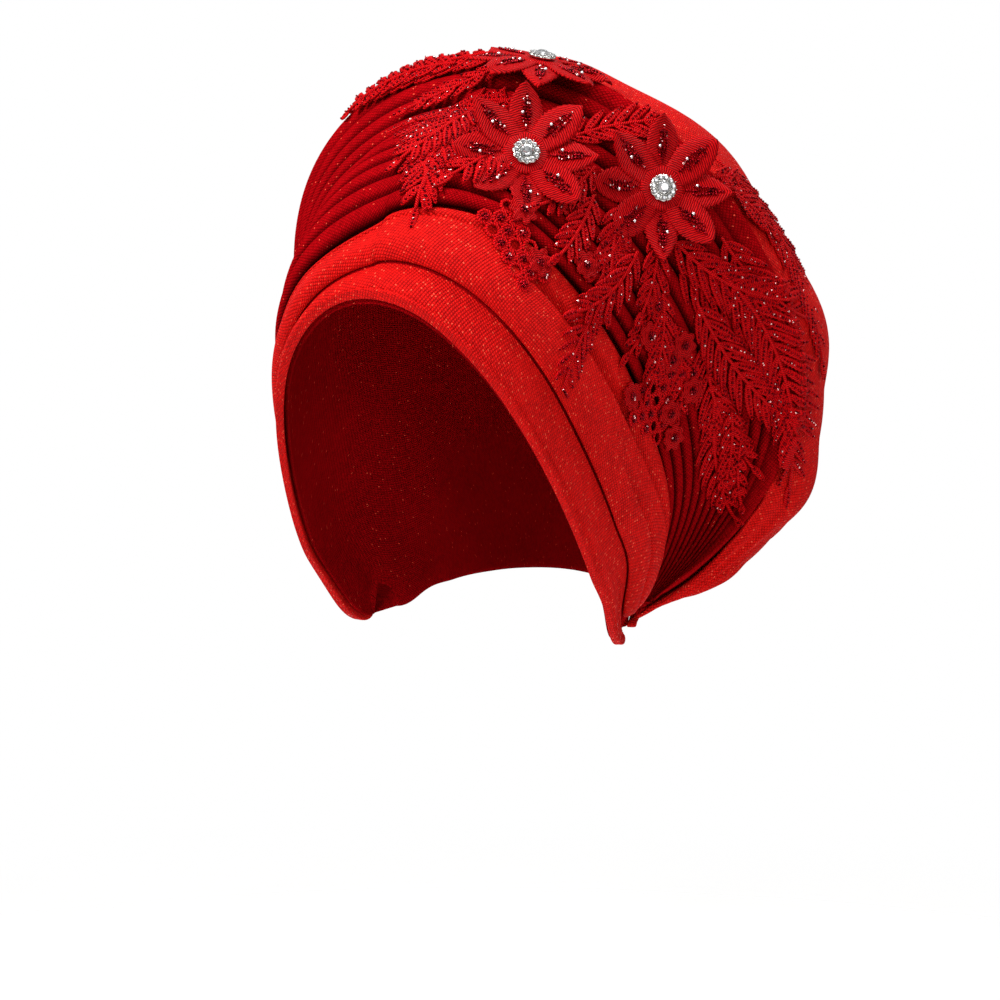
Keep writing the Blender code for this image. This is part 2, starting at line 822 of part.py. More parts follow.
def settle(thing):
    """Bake the modifiers into the mesh."""
    graph = bpy.context.evaluated_depsgraph_get()
    mesh = bpy.data.meshes.new_from_object(thing.evaluated_get(graph))
    thing.modifiers.clear()
    thing.data = mesh


def build_crystal(name, frame, material, collection):
    """The middle stone: a table, a crown of facets, a girdle and a flat seat."""
    radius = CRYSTAL_ACROSS / 2
    low = SETTING_DEEP * 0.35 + GAP
    return turned_solid(
        name,
        (
            (radius * 0.55, low, 0.0),
            (radius, low + 0.0009, 0.0),
            (radius, low + 0.0013, 0.0),
            (radius * 0.55, low + 0.0024, 0.0),
        ),
        frame,
        CRYSTAL_FACETS,
        material,
        collection,
    )


def clear_scene():
    for thing in list(bpy.data.objects):
        bpy.data.objects.remove(thing, do_unlink=True)


def build_trim(collection):
    """The lace, the florets and the three stone-centred flowers, laid over bands and pleats."""
    lace = cloth_material("red_guipure_lace", LACE_RED)
    metal = cloth_material("silver_setting", SILVER, 0.25, 1.0)
    crystal = cloth_material("clear_crystal", CRYSTAL, 0.05)
    bed = bed_tree()
    laid = list(collection.objects)

    def place(things, way):
        press_down(things, way, laid)
        laid.extend(things)

    for row in PLUMES:
        place([build_plume(row, bed, lace, collection)], -plume_frame(row)[3])
    for row in NETS:
        place([build_net(row, bed, lace, collection)], -bed_frame(row[1], row[2])[3])
    floret = (FLORET_ACROSS, FLORET_PETALS, 3, 0.62, 0.0006, LACE_THICK, (0.5, 1.0))
    for name, along, across, layer in FLORETS:
        spot, side, back, out = bed_frame(along, across)
        frame = (spot + out * layer_height(layer), side, back, out)
        place([build_rosette(name, frame, floret, layer, bed, lace, collection)], -out)
    for name, along, across, turn, tilt, cup in FLOWERS:
        flower = (
            FLOWER_ACROSS, PETALS, 5, 0.52, cup * FLOWER_ACROSS, PETAL_THICK, (0.30, 0.68, 1.0)
        )
        frame = flower_frame(along, across, turn, tilt)
        rosette = build_rosette("flower_" + name, frame, flower, 1, bed, lace, collection)
        seat = seat_on(rosette, frame, FLOWER_ACROSS * 0.15)
        setting = build_setting("setting_" + name, seat, metal, collection)
        stone = build_crystal("crystal_" + name, seat, crystal, collection)
        place([rosette, setting, stone], -bed_frame(along, across)[3])
        press_down([setting, stone], -frame[3], [rosette])


def main():
    clear_scene()
    head_tie = bpy.data.collections.new("gele_head_tie")
    bpy.context.scene.collection.children.link(head_tie)
    red = cloth_material("red_woven_cloth", RED)
    deep = cloth_material("deep_red_cloth", DEEP_RED)
    bottom = CLOTH + SEAT
    build_cap(deep, head_tie)
    front_profile = (
        (0.0, bottom), (-0.02, bottom + FOLD * 0.6), (0.06, bottom + FOLD * 1.25),
        (0.25, bottom + FOLD * 1.1), (0.6, bottom + FOLD), (0.92, bottom + FOLD * 0.75),
        (1.0, bottom + FOLD * 0.4), (1.0, bottom), (0.66, bottom), (0.33, bottom),
    )
    build_band("front_band", "hem", "crease", front_profile, red, head_tie, clear_last=BAND_CLEARANCE)
    second_profile = (
        (0.0, bottom), (0.0, bottom + FOLD * 1.0), (0.10, bottom + FOLD * 1.55),
        (0.30, bottom + FOLD * 1.4), (0.7, bottom + FOLD * 1.2), (0.94, bottom + FOLD * 1.15),
        (1.0, bottom + FOLD * 0.7), (0.98, bottom), (0.75, bottom), (0.5, bottom), (0.25, bottom),
    )
    build_band("second_band", "crease", "second", second_profile, red, head_tie, clear_last=BAND_CLEARANCE)
    build_halo(deep, head_tie)
    build_crown(red, head_tie)
    build_nape(red, head_tie)
    build_trim(head_tie)


if __name__ == "__main__":
    main()
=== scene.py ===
"""The looks of a tied gele head tie: woven bands, corded pleats, a gathered crown, lace and flowers."""

import json
from math import asin, atan2, cos, degrees, exp, hypot, pi, radians, sin, sqrt

import bmesh
import bpy
from mathutils import Matrix, Vector, noise
from mathutils.bvhtree import BVHTree

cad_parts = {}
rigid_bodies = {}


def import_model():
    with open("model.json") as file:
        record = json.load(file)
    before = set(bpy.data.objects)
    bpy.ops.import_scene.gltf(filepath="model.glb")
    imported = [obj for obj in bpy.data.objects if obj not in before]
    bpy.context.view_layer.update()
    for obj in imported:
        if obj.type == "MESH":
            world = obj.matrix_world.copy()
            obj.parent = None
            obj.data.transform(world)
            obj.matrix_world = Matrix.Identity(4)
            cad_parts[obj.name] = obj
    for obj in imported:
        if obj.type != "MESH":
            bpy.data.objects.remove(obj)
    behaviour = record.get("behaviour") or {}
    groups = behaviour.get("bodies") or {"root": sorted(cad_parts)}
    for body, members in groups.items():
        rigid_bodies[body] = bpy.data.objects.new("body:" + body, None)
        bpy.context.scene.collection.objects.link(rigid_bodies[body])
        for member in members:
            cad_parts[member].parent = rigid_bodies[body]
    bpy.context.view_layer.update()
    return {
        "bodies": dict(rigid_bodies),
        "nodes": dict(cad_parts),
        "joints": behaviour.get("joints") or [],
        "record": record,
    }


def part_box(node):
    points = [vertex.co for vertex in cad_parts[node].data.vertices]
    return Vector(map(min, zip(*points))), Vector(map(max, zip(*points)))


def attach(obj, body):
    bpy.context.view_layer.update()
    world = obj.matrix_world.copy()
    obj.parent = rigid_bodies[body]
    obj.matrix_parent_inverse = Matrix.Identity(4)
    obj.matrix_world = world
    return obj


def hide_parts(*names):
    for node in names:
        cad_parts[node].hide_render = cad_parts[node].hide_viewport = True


bl_info = {
    "name": "Gele head tie looks",
    "version": (1, 0, 0),
    "blender": (4, 5, 0),
    "location": "View3D > Sidebar > Gele",
    "description": "Dresses the head tie's frame in woven cloth, lace, beads and stones",
    "category": "Object",
}

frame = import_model()
MM = 0.001

# The head hollow, as in the part's source
HEAD_WIDTH = 0.142
HEAD_LENGTH = 0.186
CROWN_HEIGHT = 0.105
JAW_TAPER = 0.200
EAR_ROOM = 0.0075
TIE_BACK = 0.025
TIE_DROP = 0.103
TIE_SWEEP = radians(85)
SWEEP_POWER = 1.5

# Cloth and clearances
CLOTH = 0.0014
FOLD = 0.0026
GAP = 0.0003
SEAT = 0.0009
BAND_CLEARANCE = 0.0006
# Past this share of the way to the tie point a band rounds off into its tip
TIP_START = 0.93

# Depths of the folds, gathers and tucks that only the looks have
LAPPED_FOLD = 0.0062
NEAR_FOLD = 0.0045
LOW_FOLD = 0.0022
TIE_GATHER = 0.0009
CROWN_SWELL = 0.0030
CROWN_WAVE = 0.0030
CROWN_DIP = 0.0010
NAPE_GATHER = 0.0022
RIM_TUCK = 0.0006
END_GATHER = 0.0010

# Pleated halo and hollow crown
HALO_WIDTH = 0.2350
HALO_HEIGHT = 0.1315
HALO_LEAN = 0.0190
HALO_SWEEP_BACK = 0.0394
HALO_FOOT_WIDTH = 0.1206
RIM_ROLL = 0.0042
RIB_COUNT = 10
RIB_HEIGHT = 0.0032
HALO_SINK = 0.0050
HALO_BODY = 0.0016
CROWN_BACK = 0.1400
CROWN_WIDTH = 0.2440
NAPE_WIDTH = 0.0110
NAPE_ROLL = 0.0040

# Trim
FLOWER_ACROSS = 0.0600
PETALS = 8
PETAL_THICK = 0.0015
SETTING_ACROSS = 0.0112
SETTING_DEEP = 0.0022
SMALL_STONES = 11
CRYSTAL_ACROSS = 0.0056
FLORET_ACROSS = 0.0110
NET_CELL = 0.0062
RIBS_REACH = 1.86

# Turn of the weave on the bands and in the pleats, in degrees, and the pleats' share of the flecks, kept low
# because the pleats lie in shade and the flecks' glints are partly painted highlight
BAND_TURN = 24
BIAS_TURN = 38
SHADED_PLEAT_FLECKS = 0.25

# Stage: a round of paper below the head, lit from above, in a white room
FLOOR = -0.45
PAPER_RINGS = (0.02, 0.3, 0.6, 0.9, 1.2, 1.6)
PAPER_SIDES = 48
PAPER_RIPPLE = 0.0004
PAPER_FADES = (0.55, 1.15)
AIR_LIGHT = 0.38
LIGHTS = (
    # name, place, aim, size, share of the key's power
    ("key_light", (-0.75, -1.30, 1.30), (0, 0, 0), 0.8, 1.0),
    ("fill_light", (1.50, -1.00, 0.50), (0, 0, 0), 1.2, 0.16),
    ("top_light", (0.45, 0.50, 1.60), (0, 0, 0), 0.9, 0.34),
    ("paper_light", (0.0, 0.0, 4.50), (0, 0, 0), 3.5, 0.8),
)
CAMERA_TURN = radians(28)
CAMERA_RISE = radians(6)
CAMERA_AWAY = 1.3
# Where the middle of the head lies in the frame of 1000 x 1000, and the scale there
FRAME_SIZE = 1000
HEAD_AT = (473, 381)
PIXELS_PER_METRE = 2370
SENSOR_MM = 36

# Rise of the lace's second layer over the first
LAYER_RISE = 0.0013

# Where each fold's edge runs: degrees around the tie line, a row for each section along the wrap
EDGE_COLUMNS = ("along", "hem", "crease", "second", "foot", "nape")
EDGES = (
    (-1.00, -60.0, 10.0, 70.0, 150.0, 205.0),
    (-0.85, 10.0, 40.0, 88.0, 118.0, 174.0),
    (-0.70, 30.5, 44.0, 64.0, 80.0, 169.0),
    (-0.50, 43.5, 49.5, 55.5, 59.5, 168.0),
    (-0.25, 50.4, 53.4, 56.0, 57.6, 168.0),
    (0.00, 51.8, 55.7, 59.4, 61.0, 168.0),
    (0.25, 50.4, 56.4, 63.5, 65.4, 168.0),
    (0.50, 43.5, 54.7, 68.5, 72.5, 168.0),
    (0.70, 30.5, 52.5, 81.0, 92.0, 169.0),
    (0.85, 10.0, 48.0, 104.0, 119.0, 174.0),
    (1.00, -60.0, 10.0, 70.0, 150.0, 205.0),
)

# Arches of the crown from the rim to the nape, as shares of its named sizes
CROWN_ARCHES = (
    # back, up, wide, swing, tie
    (0.175, 1.020, 0.978, 1.00, 0.45),
    (0.370, 1.020, 1.000, 0.93, 0.55),
    (0.620, 0.910, 1.005, 0.78, 0.68),
    (0.840, 0.700, 0.985, 0.60, 0.80),
    (0.970, 0.390, 0.930, 0.42, 0.92),
    (1.000, 0.040, 0.840, 0.30, 1.05),
    (0.910, -0.310, 0.730, 0.15, 1.18),
    (0.760, -0.500, 0.620, 0.00, 1.30),
)

FLOWERS = (
    # name, along, across, turn, tilt to the front in degrees, cup of the petals
    ("left", 0.190, 1.44, 8.0, 24.0, 0.060),
    ("right", 0.335, 1.74, 22.0, 6.0, 0.060),
    ("top", 0.085, 1.93, 4.0, -30.0, -0.070),
)
FLORETS = (
    # name, along, across
    ("floret_1", 0.350, 1.00),
    ("floret_2", 0.540, 1.24),
    ("floret_3", 0.605, 1.12),
)
PLUMES = (
    # name, start along, start across, end along, end across, bow, leaf length, layer
    ("lace_plume_left", 0.010, 1.74, 0.095, 1.06, -0.08, 0.34, 0),
    ("lace_spray_rim", 0.040, 1.99, -0.230, 1.97, 0.05, 0.20, 0),
    ("lace_plume_right", 0.440, 1.50, 0.790, 1.88, 0.12, 0.20, 1),
    ("lace_plume_side", 0.440, 1.26, 0.490, 0.36, -0.10, 0.30, 0),
    ("lace_spray_crown", 0.430, 1.72, 0.560, 2.12, -0.08, 0.32, 0),
    ("lace_spray_back", 0.330, 2.14, 0.590, 2.52, 0.04, 0.20, 0),
)
FRONDS = (
    # name, start along, start across, end along, end across, bow, leaf length, layer
    ("near_1", 0.400, 1.55, 0.530, 1.98, -0.10, 0.28, 1),
    ("near_2", 0.430, 1.48, 0.615, 1.98, -0.05, 0.24, 0),
    ("near_3", 0.480, 1.42, 0.700, 1.92, -0.06, 0.24, 1),
    ("near_4", 0.530, 1.40, 0.735, 1.64, -0.08, 0.26, 0),
    ("near_5", 0.610, 1.34, 0.810, 1.62, -0.06, 0.26, 0),
    ("near_6", 0.430, 1.44, 0.510, 1.02, 0.08, 0.34, 0),
    ("near_7", 0.400, 1.38, 0.430, 0.88, 0.10, 0.34, 1),
    ("near_8", 0.340, 1.52, 0.400, 1.12, 0.06, 0.34, 0),
    ("near_9", 0.380, 1.55, 0.470, 1.20, 0.06, 0.36, 1),
    ("far_1", 0.030, 1.85, -0.110, 1.68, 0.06, 0.28, 1),
    ("far_2", 0.030, 1.62, -0.010, 1.18, 0.08, 0.32, 1),
    ("far_3", 0.080, 1.45, 0.120, 0.98, -0.06, 0.34, 0),
    ("far_4", 0.060, 1.75, -0.050, 1.42, 0.06, 0.34, 0),
    ("rim_1", -0.050, 1.86, -0.240, 1.90, -0.06, 0.20, 1),
    ("middle_1", 0.190, 1.50, 0.290, 1.30, 0.05, 0.40, 0),
    ("middle_2", 0.200, 1.60, 0.260, 1.95, 0.05, 0.36, 0),
    ("middle_3", 0.260, 1.55, 0.280, 1.16, 0.05, 0.36, 1),
    ("middle_4", 0.300, 1.42, 0.360, 1.02, 0.05, 0.38, 1),
    ("middle_5", 0.330, 1.50, 0.450, 1.06, -0.05, 0.34, 0),
    ("near_10", 0.460, 1.36, 0.560, 1.04, 0.06, 0.34, 1),
    ("near_11", 0.500, 1.34, 0.620, 1.16, 0.05, 0.32, 0),
    ("near_12", 0.690, 1.56, 0.800, 1.78, -0.05, 0.26, 1),
    ("near_13", 0.640, 1.50, 0.770, 1.50, 0.05, 0.28, 1),
    ("far_5", 0.020, 1.60, 0.060, 1.10, 0.06, 0.34, 0),
    ("far_6", 0.090, 1.70, -0.090, 1.50, 0.05, 0.32, 1),
    ("far_7", 0.140, 1.62, 0.150, 1.10, 0.05, 0.34, 1),
    ("back_1", 0.350, 1.90, 0.430, 2.20, 0.06, 0.34, 1),
)
NETS = (
    # name, along, across, turn, columns, rows
    ("lace_net_front", 0.310, 0.98, -30.0, 6, 3),
    ("lace_net_side", 0.575, 1.10, -62.0, 6, 5),
)
BLOOMS = (
    # along, across: small flowers that only the looks have
    (0.500, 1.18),
    (0.560, 1.00),
    (0.590, 1.30),
    (0.470, 1.30),
    (0.280, 1.08),
    (0.640, 1.10),
    (0.530, 1.34),
    (0.385, 1.10),
)


def table_value(table, columns, name, at):
    """A column's value at a place along the wrap, on a smooth curve through the rows."""
    column = columns.index(name)
    rows = [(row[0], row[column]) for row in table]
    return curve_value(rows, at)


def curve_value(rows, at):
    """A Catmull-Rom curve through (place, value) rows."""
    last = len(rows) - 1
    i = 0
    while i < last - 1 and at > rows[i + 1][0]:
        i += 1
    before, start, end, after = (rows[min(max(k, 0), last)] for k in (i - 1, i, i + 1, i + 2))
    span = end[0] - start[0]
    t = (at - start[0]) / span
    rise_in = (end[1] - before[1]) / (end[0] - before[0]) * span
    rise_out = (after[1] - start[1]) / (after[0] - start[0]) * span
    return (
        (2 * t**3 - 3 * t**2 + 1) * start[1]
        + (t**3 - 2 * t**2 + t) * rise_in
        + (3 * t**2 - 2 * t**3) * end[1]
        + (t**3 - t**2) * rise_out
    )


def edge(name, along):
    """The degrees around the tie line of a fold's edge."""
    return table_value(EDGES, EDGE_COLUMNS, name, along)


def tie_point():
    """The middle of the line between the two tie points."""
    return Vector((0, TIE_BACK, -TIE_DROP))


def wrap_direction(along, around):
    """The way out from the middle of the tie line at a place on the wrap."""
    side = TIE_SWEEP * (1 if along > 0 else -1) * abs(along) ** SWEEP_POWER
    turn = radians(around)
    return Vector((sin(side), -cos(side) * cos(turn), cos(side) * sin(turn)))


def reach(origin, way, height):
    """How far the head's surface, grown by a height, lies from a point inside it."""
    half = (HEAD_WIDTH / 2 + height, HEAD_LENGTH / 2 + height)
    for up in (JAW_TAPER + height, CROWN_HEIGHT + height):
        sizes = (half[0], half[1], up)
        a = sum((way[k] / sizes[k]) ** 2 for k in range(3))
        b = sum(2 * way[k] * origin[k] / sizes[k] ** 2 for k in range(3))
        c = sum((origin[k] / sizes[k]) ** 2 for k in range(3)) - 1
        distance = (-b + sqrt(max(b * b - 4 * a * c, 0))) / (2 * a)
        if origin[2] + way[2] * distance <= 0:
            return distance
    return distance


def ear_room(along, around):
    """Extra height where the wrap passes over an ear."""
    return EAR_ROOM * exp(-(((abs(along) - 0.80) / 0.17) ** 2) - ((around - 88) / 42) ** 2)


def wrap_point(along, around, height):
    """A point of the wrap, at a height over the head."""
    way = wrap_direction(along, around)
    origin = tie_point()
    return origin + way * reach(origin, way, height + ear_room(along, around))


def arch_point(along, arch):
    """A point of a free-standing arch: middle y and z, end x, y and z, half width, swing back."""
    mid_y, mid_z, end_x, end_y, end_z, half, swing = arch
    rise = hypot(mid_y - end_y, mid_z - end_z)
    up = ((mid_y - end_y) / rise, (mid_z - end_z) / rise)
    half = max(half, end_x * 1.001)
    low = sqrt(1 - (end_x / half) ** 2)
    turn = along * (pi - asin(end_x / half))
    share = (low + cos(turn)) / (1 + low)
    out = 6.75 * swing * share * (1 - share) ** 2
    return Vector(
        (
            half * sin(turn),
            end_y + rise * share * up[0] + out * up[1],
            end_z + rise * share * up[1] - out * up[0],
        )
    )


def rim_arch(grow=0.0):
    """The arch that the middle of the halo's rim roll follows."""
    return (
        HALO_LEAN,
        HALO_HEIGHT + grow,
        HALO_FOOT_WIDTH / 2,
        TIE_BACK * 1.28,
        -TIE_DROP + RIM_ROLL,
        HALO_WIDTH / 2 + grow,
        HALO_SWEEP_BACK,
    )


def crown_arch(place):
    """An arch of the crown; place runs from 0 at the rim to 1 at the nape."""
    rows = [(k / (len(CROWN_ARCHES) - 1), row) for k, row in enumerate(CROWN_ARCHES)]
    back, up, wide, swing, tie = (
        curve_value([(at, row[column]) for at, row in rows], place) for column in range(len(rows[0][1]))
    )
    return (
        back * CROWN_BACK,
        up * HALO_HEIGHT,
        HALO_FOOT_WIDTH / 2 - 0.004 * place,
        TIE_BACK * (1 + tie),
        -TIE_DROP + 0.001 + 0.004 * place,
        wide * CROWN_WIDTH / 2,
        swing * HALO_SWEEP_BACK,
    )


def angle_for(length, along, around, height=0.004):
    """The degrees around the tie line that a length across the wrap takes."""
    away = wrap_point(along, around, height) - tie_point()
    return degrees(length / max(hypot(away.y, away.z), 0.008))


def rest_on_head(point, height):
    """The point, pushed out to a height over the head where it lies lower."""
    away = point - tie_point()
    way = away.normalized()
    side = asin(max(-1, min(1, way.x)))
    along = (abs(side) / TIE_SWEEP) ** (1 / SWEEP_POWER) * (1 if side > 0 else -1)
    around = degrees(atan2(way.z, -way.y))
    least = reach(tie_point(), way, height + ear_room(along, around))
    return tie_point() + way * max(away.length, least)


def halo_frame(along):
    """The foot and the rim of the pleats, the way across, the way out of their face, the rib height."""
    foot = wrap_point(along, edge("foot", along), CLOTH + SEAT + HALO_BODY)
    rim = arch_point(along, rim_arch())
    side = 0.02 if along < 0 else -0.02
    ahead = (arch_point(along + side, rim_arch()) - rim) * (1 if side > 0 else -1)
    across = rim - foot
    front = ahead.cross(across).normalized()
    if front.y > 0:
        front = -front
    ribs_end = 1 - 1.2 * RIM_ROLL / across.length
    rib = min(RIB_HEIGHT, 0.50 * across.length * ribs_end / RIB_COUNT)
    return foot, rim, across, front, ribs_end, rib


def halo_face(frame, share, height):
    """A point of the pleats' face at a share from foot to rim, raised by a height."""
    foot, _, across, front, _, _ = frame
    sink = HALO_SINK * min(1, across.length / 0.04)
    base = foot + across * share - front * sink * sin(pi * share)
    return rest_on_head(base, CLOTH + 1.5 * SEAT + HALO_BODY) + front * height


def nape_top(along, above=0.0):
    """The angle of the nape band's upper edge, or of a place above it by a length."""
    end = edge("nape", along)
    widest = 0.45 * (end - edge("foot", along))
    return end - min(angle_for(NAPE_WIDTH, along, end), widest) - min(
        angle_for(above, along, end), 0.12 * widest
    )


def crown_point(along, place):
    """A point of the crown's outer face, which lands on the cap above the nape band."""
    spot = arch_point(along, crown_arch(place))
    landing = max(0, (place - 0.72) / 0.28)
    blend = landing * landing * (3 - 2 * landing)
    around = nape_top(along, 2 * SEAT)
    return spot.lerp(wrap_point(along, around, 2 * CLOTH + SEAT), blend)


def bed_point(along, across):
    """A point of the bed over bands, pleats and crown that the trim is laid on."""
    if across <= 1:
        start = edge("crease", along)
        around = start + (edge("second", along) - start) * across
        return wrap_point(along, around, CLOTH + SEAT + FOLD * (1.5 - 0.3 * across))
    if across >= 2:
        return crown_point(along, 0.42 * (across - 2))
    frame = halo_frame(along)
    _, rim, way, front, ribs_end, rib = frame
    if across < RIBS_REACH:
        share = (across - 1) / (RIBS_REACH - 1)
        return halo_face(frame, ribs_end * share, rib)
    crest = rim + front * RIM_ROLL * 0.9
    top = rim + way.normalized() * RIM_ROLL
    over = (across - RIBS_REACH) / (2 - RIBS_REACH)
    if over < 0.5:
        return halo_face(frame, ribs_end, rib).lerp(crest, 2 * over)
    return crest.lerp(top, 2 * over - 1) + (front + way.normalized()) * 0.0025 * sin(pi * (2 * over - 1))


def bed_frame(along, across):
    """The place, the way along the wrap, the way back and the way out of the bed."""
    spot = bed_point(along, across)
    side = (bed_point(along + 0.01, across) - bed_point(along - 0.01, across)).normalized()
    back = bed_point(along, across + 0.05) - bed_point(along, across - 0.05)
    out = side.cross(back).normalized()
    if out.dot(spot - tie_point()) < 0:
        out = -out
    return spot, side, out.cross(side).normalized(), out


def bed_tree():
    """The bed under the trim as a fine mesh to cast rays at; it isn't an object."""
    sides, deep = 150, 120
    points = []
    faces = []
    for i in range(sides + 1):
        for j in range(deep + 1):
            points.append(bed_point(-0.92 + 1.84 * i / sides, 3 * j / deep))
    for i in range(sides):
        for j in range(deep):
            k = i * (deep + 1) + j
            faces.append((k, k + 1, k + deep + 2, k + deep + 1))
    return BVHTree.FromPolygons(points, faces)


def ease(share):
    """A smooth step from 0 to 1."""
    share = min(max(share, 0), 1)
    return share * share * (3 - 2 * share)


def even(x, y, z):
    """Smooth noise from -1 to 1, the same in every run."""
    return noise.noise(Vector((x, y, z)))


class Mesher:
    """Collects points, faces and cloth marks in millimetres, for one joined mesh."""

    def __init__(self):
        self.points = []
        self.faces = []
        self.marks = []
        self.crease_openness = []

    def loft(self, rings, along=None, across=None, closed=True, caps=True):
        """Faces through equal rings; along and across give the marks, measured where left out."""
        first = len(self.points)
        count = len(rings[0])
        for ring in rings:
            self.points.extend(ring)
        if along is None:
            along = run_marks([ring[count // 4] for ring in rings])
        if across is None:
            across = [girth_marks(ring, closed) for ring in rings]
        for i in range(len(rings) - 1):
            low = first + i * count
            high = low + count
            for k in range(count if closed else count - 1):
                n = (k + 1) % count
                self.faces.append((low + k, low + n, high + n, high + k))
                self.marks.append(
                    (
                        (along[i], across[i][k]),
                        (along[i], across[i][k + 1]),
                        (along[i + 1], across[i + 1][k + 1]),
                        (along[i + 1], across[i + 1][k]),
                    )
                )
        if caps:
            for i in (0, len(rings) - 1):
                self.faces.append(tuple(first + i * count + k for k in range(count)))
                self.marks.append(tuple((along[i], across[i][k]) for k in range(count)))

    def bead(self, place, radius, stretch=1.0, out=None):
        """A small round bead of twenty faces."""
        first = len(self.points)
        for corner in BEAD_POINTS:
            spot = corner * radius
            if out is not None:
                spot = spot + out * (spot.dot(out) * (stretch - 1))
            self.points.append(place + spot)
        for face in BEAD_FACES:
            self.faces.append(tuple(first + k for k in face))
            self.marks.append(((0, 0), (1, 0), (0, 1)))

    def tube(self, path, radius, normals, sides=6, flat=0.8):
        """A cord along a path, flatter across the way out."""
        rings = []
        last = len(path) - 1
        for i, spot in enumerate(path):
            ahead = (path[min(i + 1, last)] - path[max(i - 1, 0)]).normalized()
            out = normals[i]
            side = ahead.cross(out).normalized()
            rings.append(
                [
                    spot
                    + side * radius * cos(2 * pi * k / sides)
                    + out * radius * flat * sin(2 * pi * k / sides)
                    for k in range(sides)
                ]
            )
        self.loft(rings)

    def sew(self, name, material, nodes=(), flat_shaded=False):
        """Make the mesh an object that rides on the head tie and stands for its nodes."""
        mesh = bpy.data.meshes.new(name)
        mesh.from_pydata(self.points, [], self.faces)
        layer = mesh.uv_layers.new(name="cloth")
        spots = [value for face in self.marks for mark in face for value in mark]
        layer.data.foreach_set("uv", spots)
        # How open each point lies, for the painted shade in creases
        if self.crease_openness:
            crease = mesh.attributes.new("crease", "FLOAT", "POINT")
            crease.data.foreach_set("value", self.crease_openness)
        shape = bmesh.new()
        shape.from_mesh(mesh)
        bmesh.ops.recalc_face_normals(shape, faces=shape.faces)
        shape.to_mesh(mesh)
        shape.free()
        mesh.polygons.foreach_set("use_smooth", [not flat_shaded] * len(mesh.polygons))
        mesh.materials.append(material)
        piece = bpy.data.objects.new(name, mesh)
        bpy.context.scene.collection.objects.link(piece)
        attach(piece, "root")
        if nodes:
            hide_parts(*nodes)
        return piece


def run_marks(path):
    """The length run at each point of a path, in millimetres, from its middle."""
    marks = [0.0]
    for before, after in zip(path, path[1:]):
        marks.append(marks[-1] + (after - before).length / MM)
    middle = marks[len(marks) // 2]
    return [mark - middle for mark in marks]


def girth_marks(ring, closed):
    """The length run round a ring, in millimetres, with the closing stretch."""
    path = ring + [ring[0]] if closed else ring
    return run_marks(path)


def bead_shape():
    """The corners and faces of a twenty-faced bead."""
    gold = (1 + sqrt(5)) / 2
    corners = []
    for a in (-1, 1):
        for b in (-gold, gold):
            corners += [Vector((0, a, b)), Vector((a, b, 0)), Vector((b, 0, a))]
    corners = [corner.normalized() for corner in corners]
    side = min((corners[0] - corner).length for corner in corners[1:])
    faces = []
    for i in range(12):
        for j in range(i + 1, 12):
            for k in range(j + 1, 12):
                edges = ((i, j), (j, k), (i, k))
                if all((corners[p] - corners[q]).length < side * 1.1 for p, q in edges):
                    faces.append((i, j, k))
    return corners, faces


BEAD_POINTS, BEAD_FACES = bead_shape()


def smooth_ring(rows, steps):
    """A closed smooth curve through a profile's rows of (share across, height)."""
    count = len(rows)
    ring = []
    for i in range(count):
        before, start, end, after = (rows[(i + k) % count] for k in (-1, 0, 1, 2))
        for step in range(steps):
            t = step / steps
            ring.append(
                tuple(
                    0.5
                    * (
                        2 * start[c]
                        + (end[c] - before[c]) * t
                        + (2 * before[c] - 5 * start[c] + 4 * end[c] - after[c]) * t * t
                        + (3 * start[c] - before[c] - 3 * end[c] + after[c]) * t**3
                    )
                    for c in range(2)
                )
            )
    return ring


# Materials

def linear(hex_colour):
    """An sRGB hex colour as a linear RGBA."""
    parts = [int(hex_colour[k : k + 2], 16) / 255 for k in (1, 3, 5)]
    return tuple(p / 12.92 if p <= 0.04045 else ((p + 0.055) / 1.055) ** 2.4 for p in parts) + (1,)


def new_material(name):
    """A material with shader nodes."""
    material = bpy.data.materials.new(name)
    material.use_nodes = True
    return material


def feed(holder, node, feeds):
    """Give each of a node's sockets a value, or the socket that it is linked from."""
    for socket, value in feeds.items():
        if isinstance(value, bpy.types.NodeSocket):
            holder.node_tree.links.new(value, node.inputs[socket])
        else:
            node.inputs[socket].default_value = value


def add(holder, kind, feeds=(), **settings):
    """Add a node to a material or a world, with its settings and links. Returns its outputs."""
    node = holder.node_tree.nodes.new(kind)
    for name, value in settings.items():
        setattr(node, name, value)
    feed(holder, node, dict(feeds))
    return node.outputs


MATHS = "ShaderNodeMath"
MIX = "ShaderNodeMix"
RANGE = "ShaderNodeMapRange"
NOISE = "ShaderNodeTexNoise"
SURFACE = "Principled BSDF"
# Depth of a bump as a share of the thread's width
THREAD_DEPTH = 0.45


def thread_marks(material, pitch_mm, turn=0.0):
    """The cloth's own marks as thread angles: half a turn of a sine is one thread."""
    marks = add(material, "ShaderNodeUVMap", uv_map="cloth")[0]
    scale = (pi / pitch_mm,) * 3
    spin = (0, 0, radians(turn))
    turned = add(material, "ShaderNodeMapping", {"Vector": marks, "Rotation": spin, "Scale": scale})[0]
    split = add(material, "ShaderNodeSeparateXYZ", {0: turned})
    return split[0], split[1]


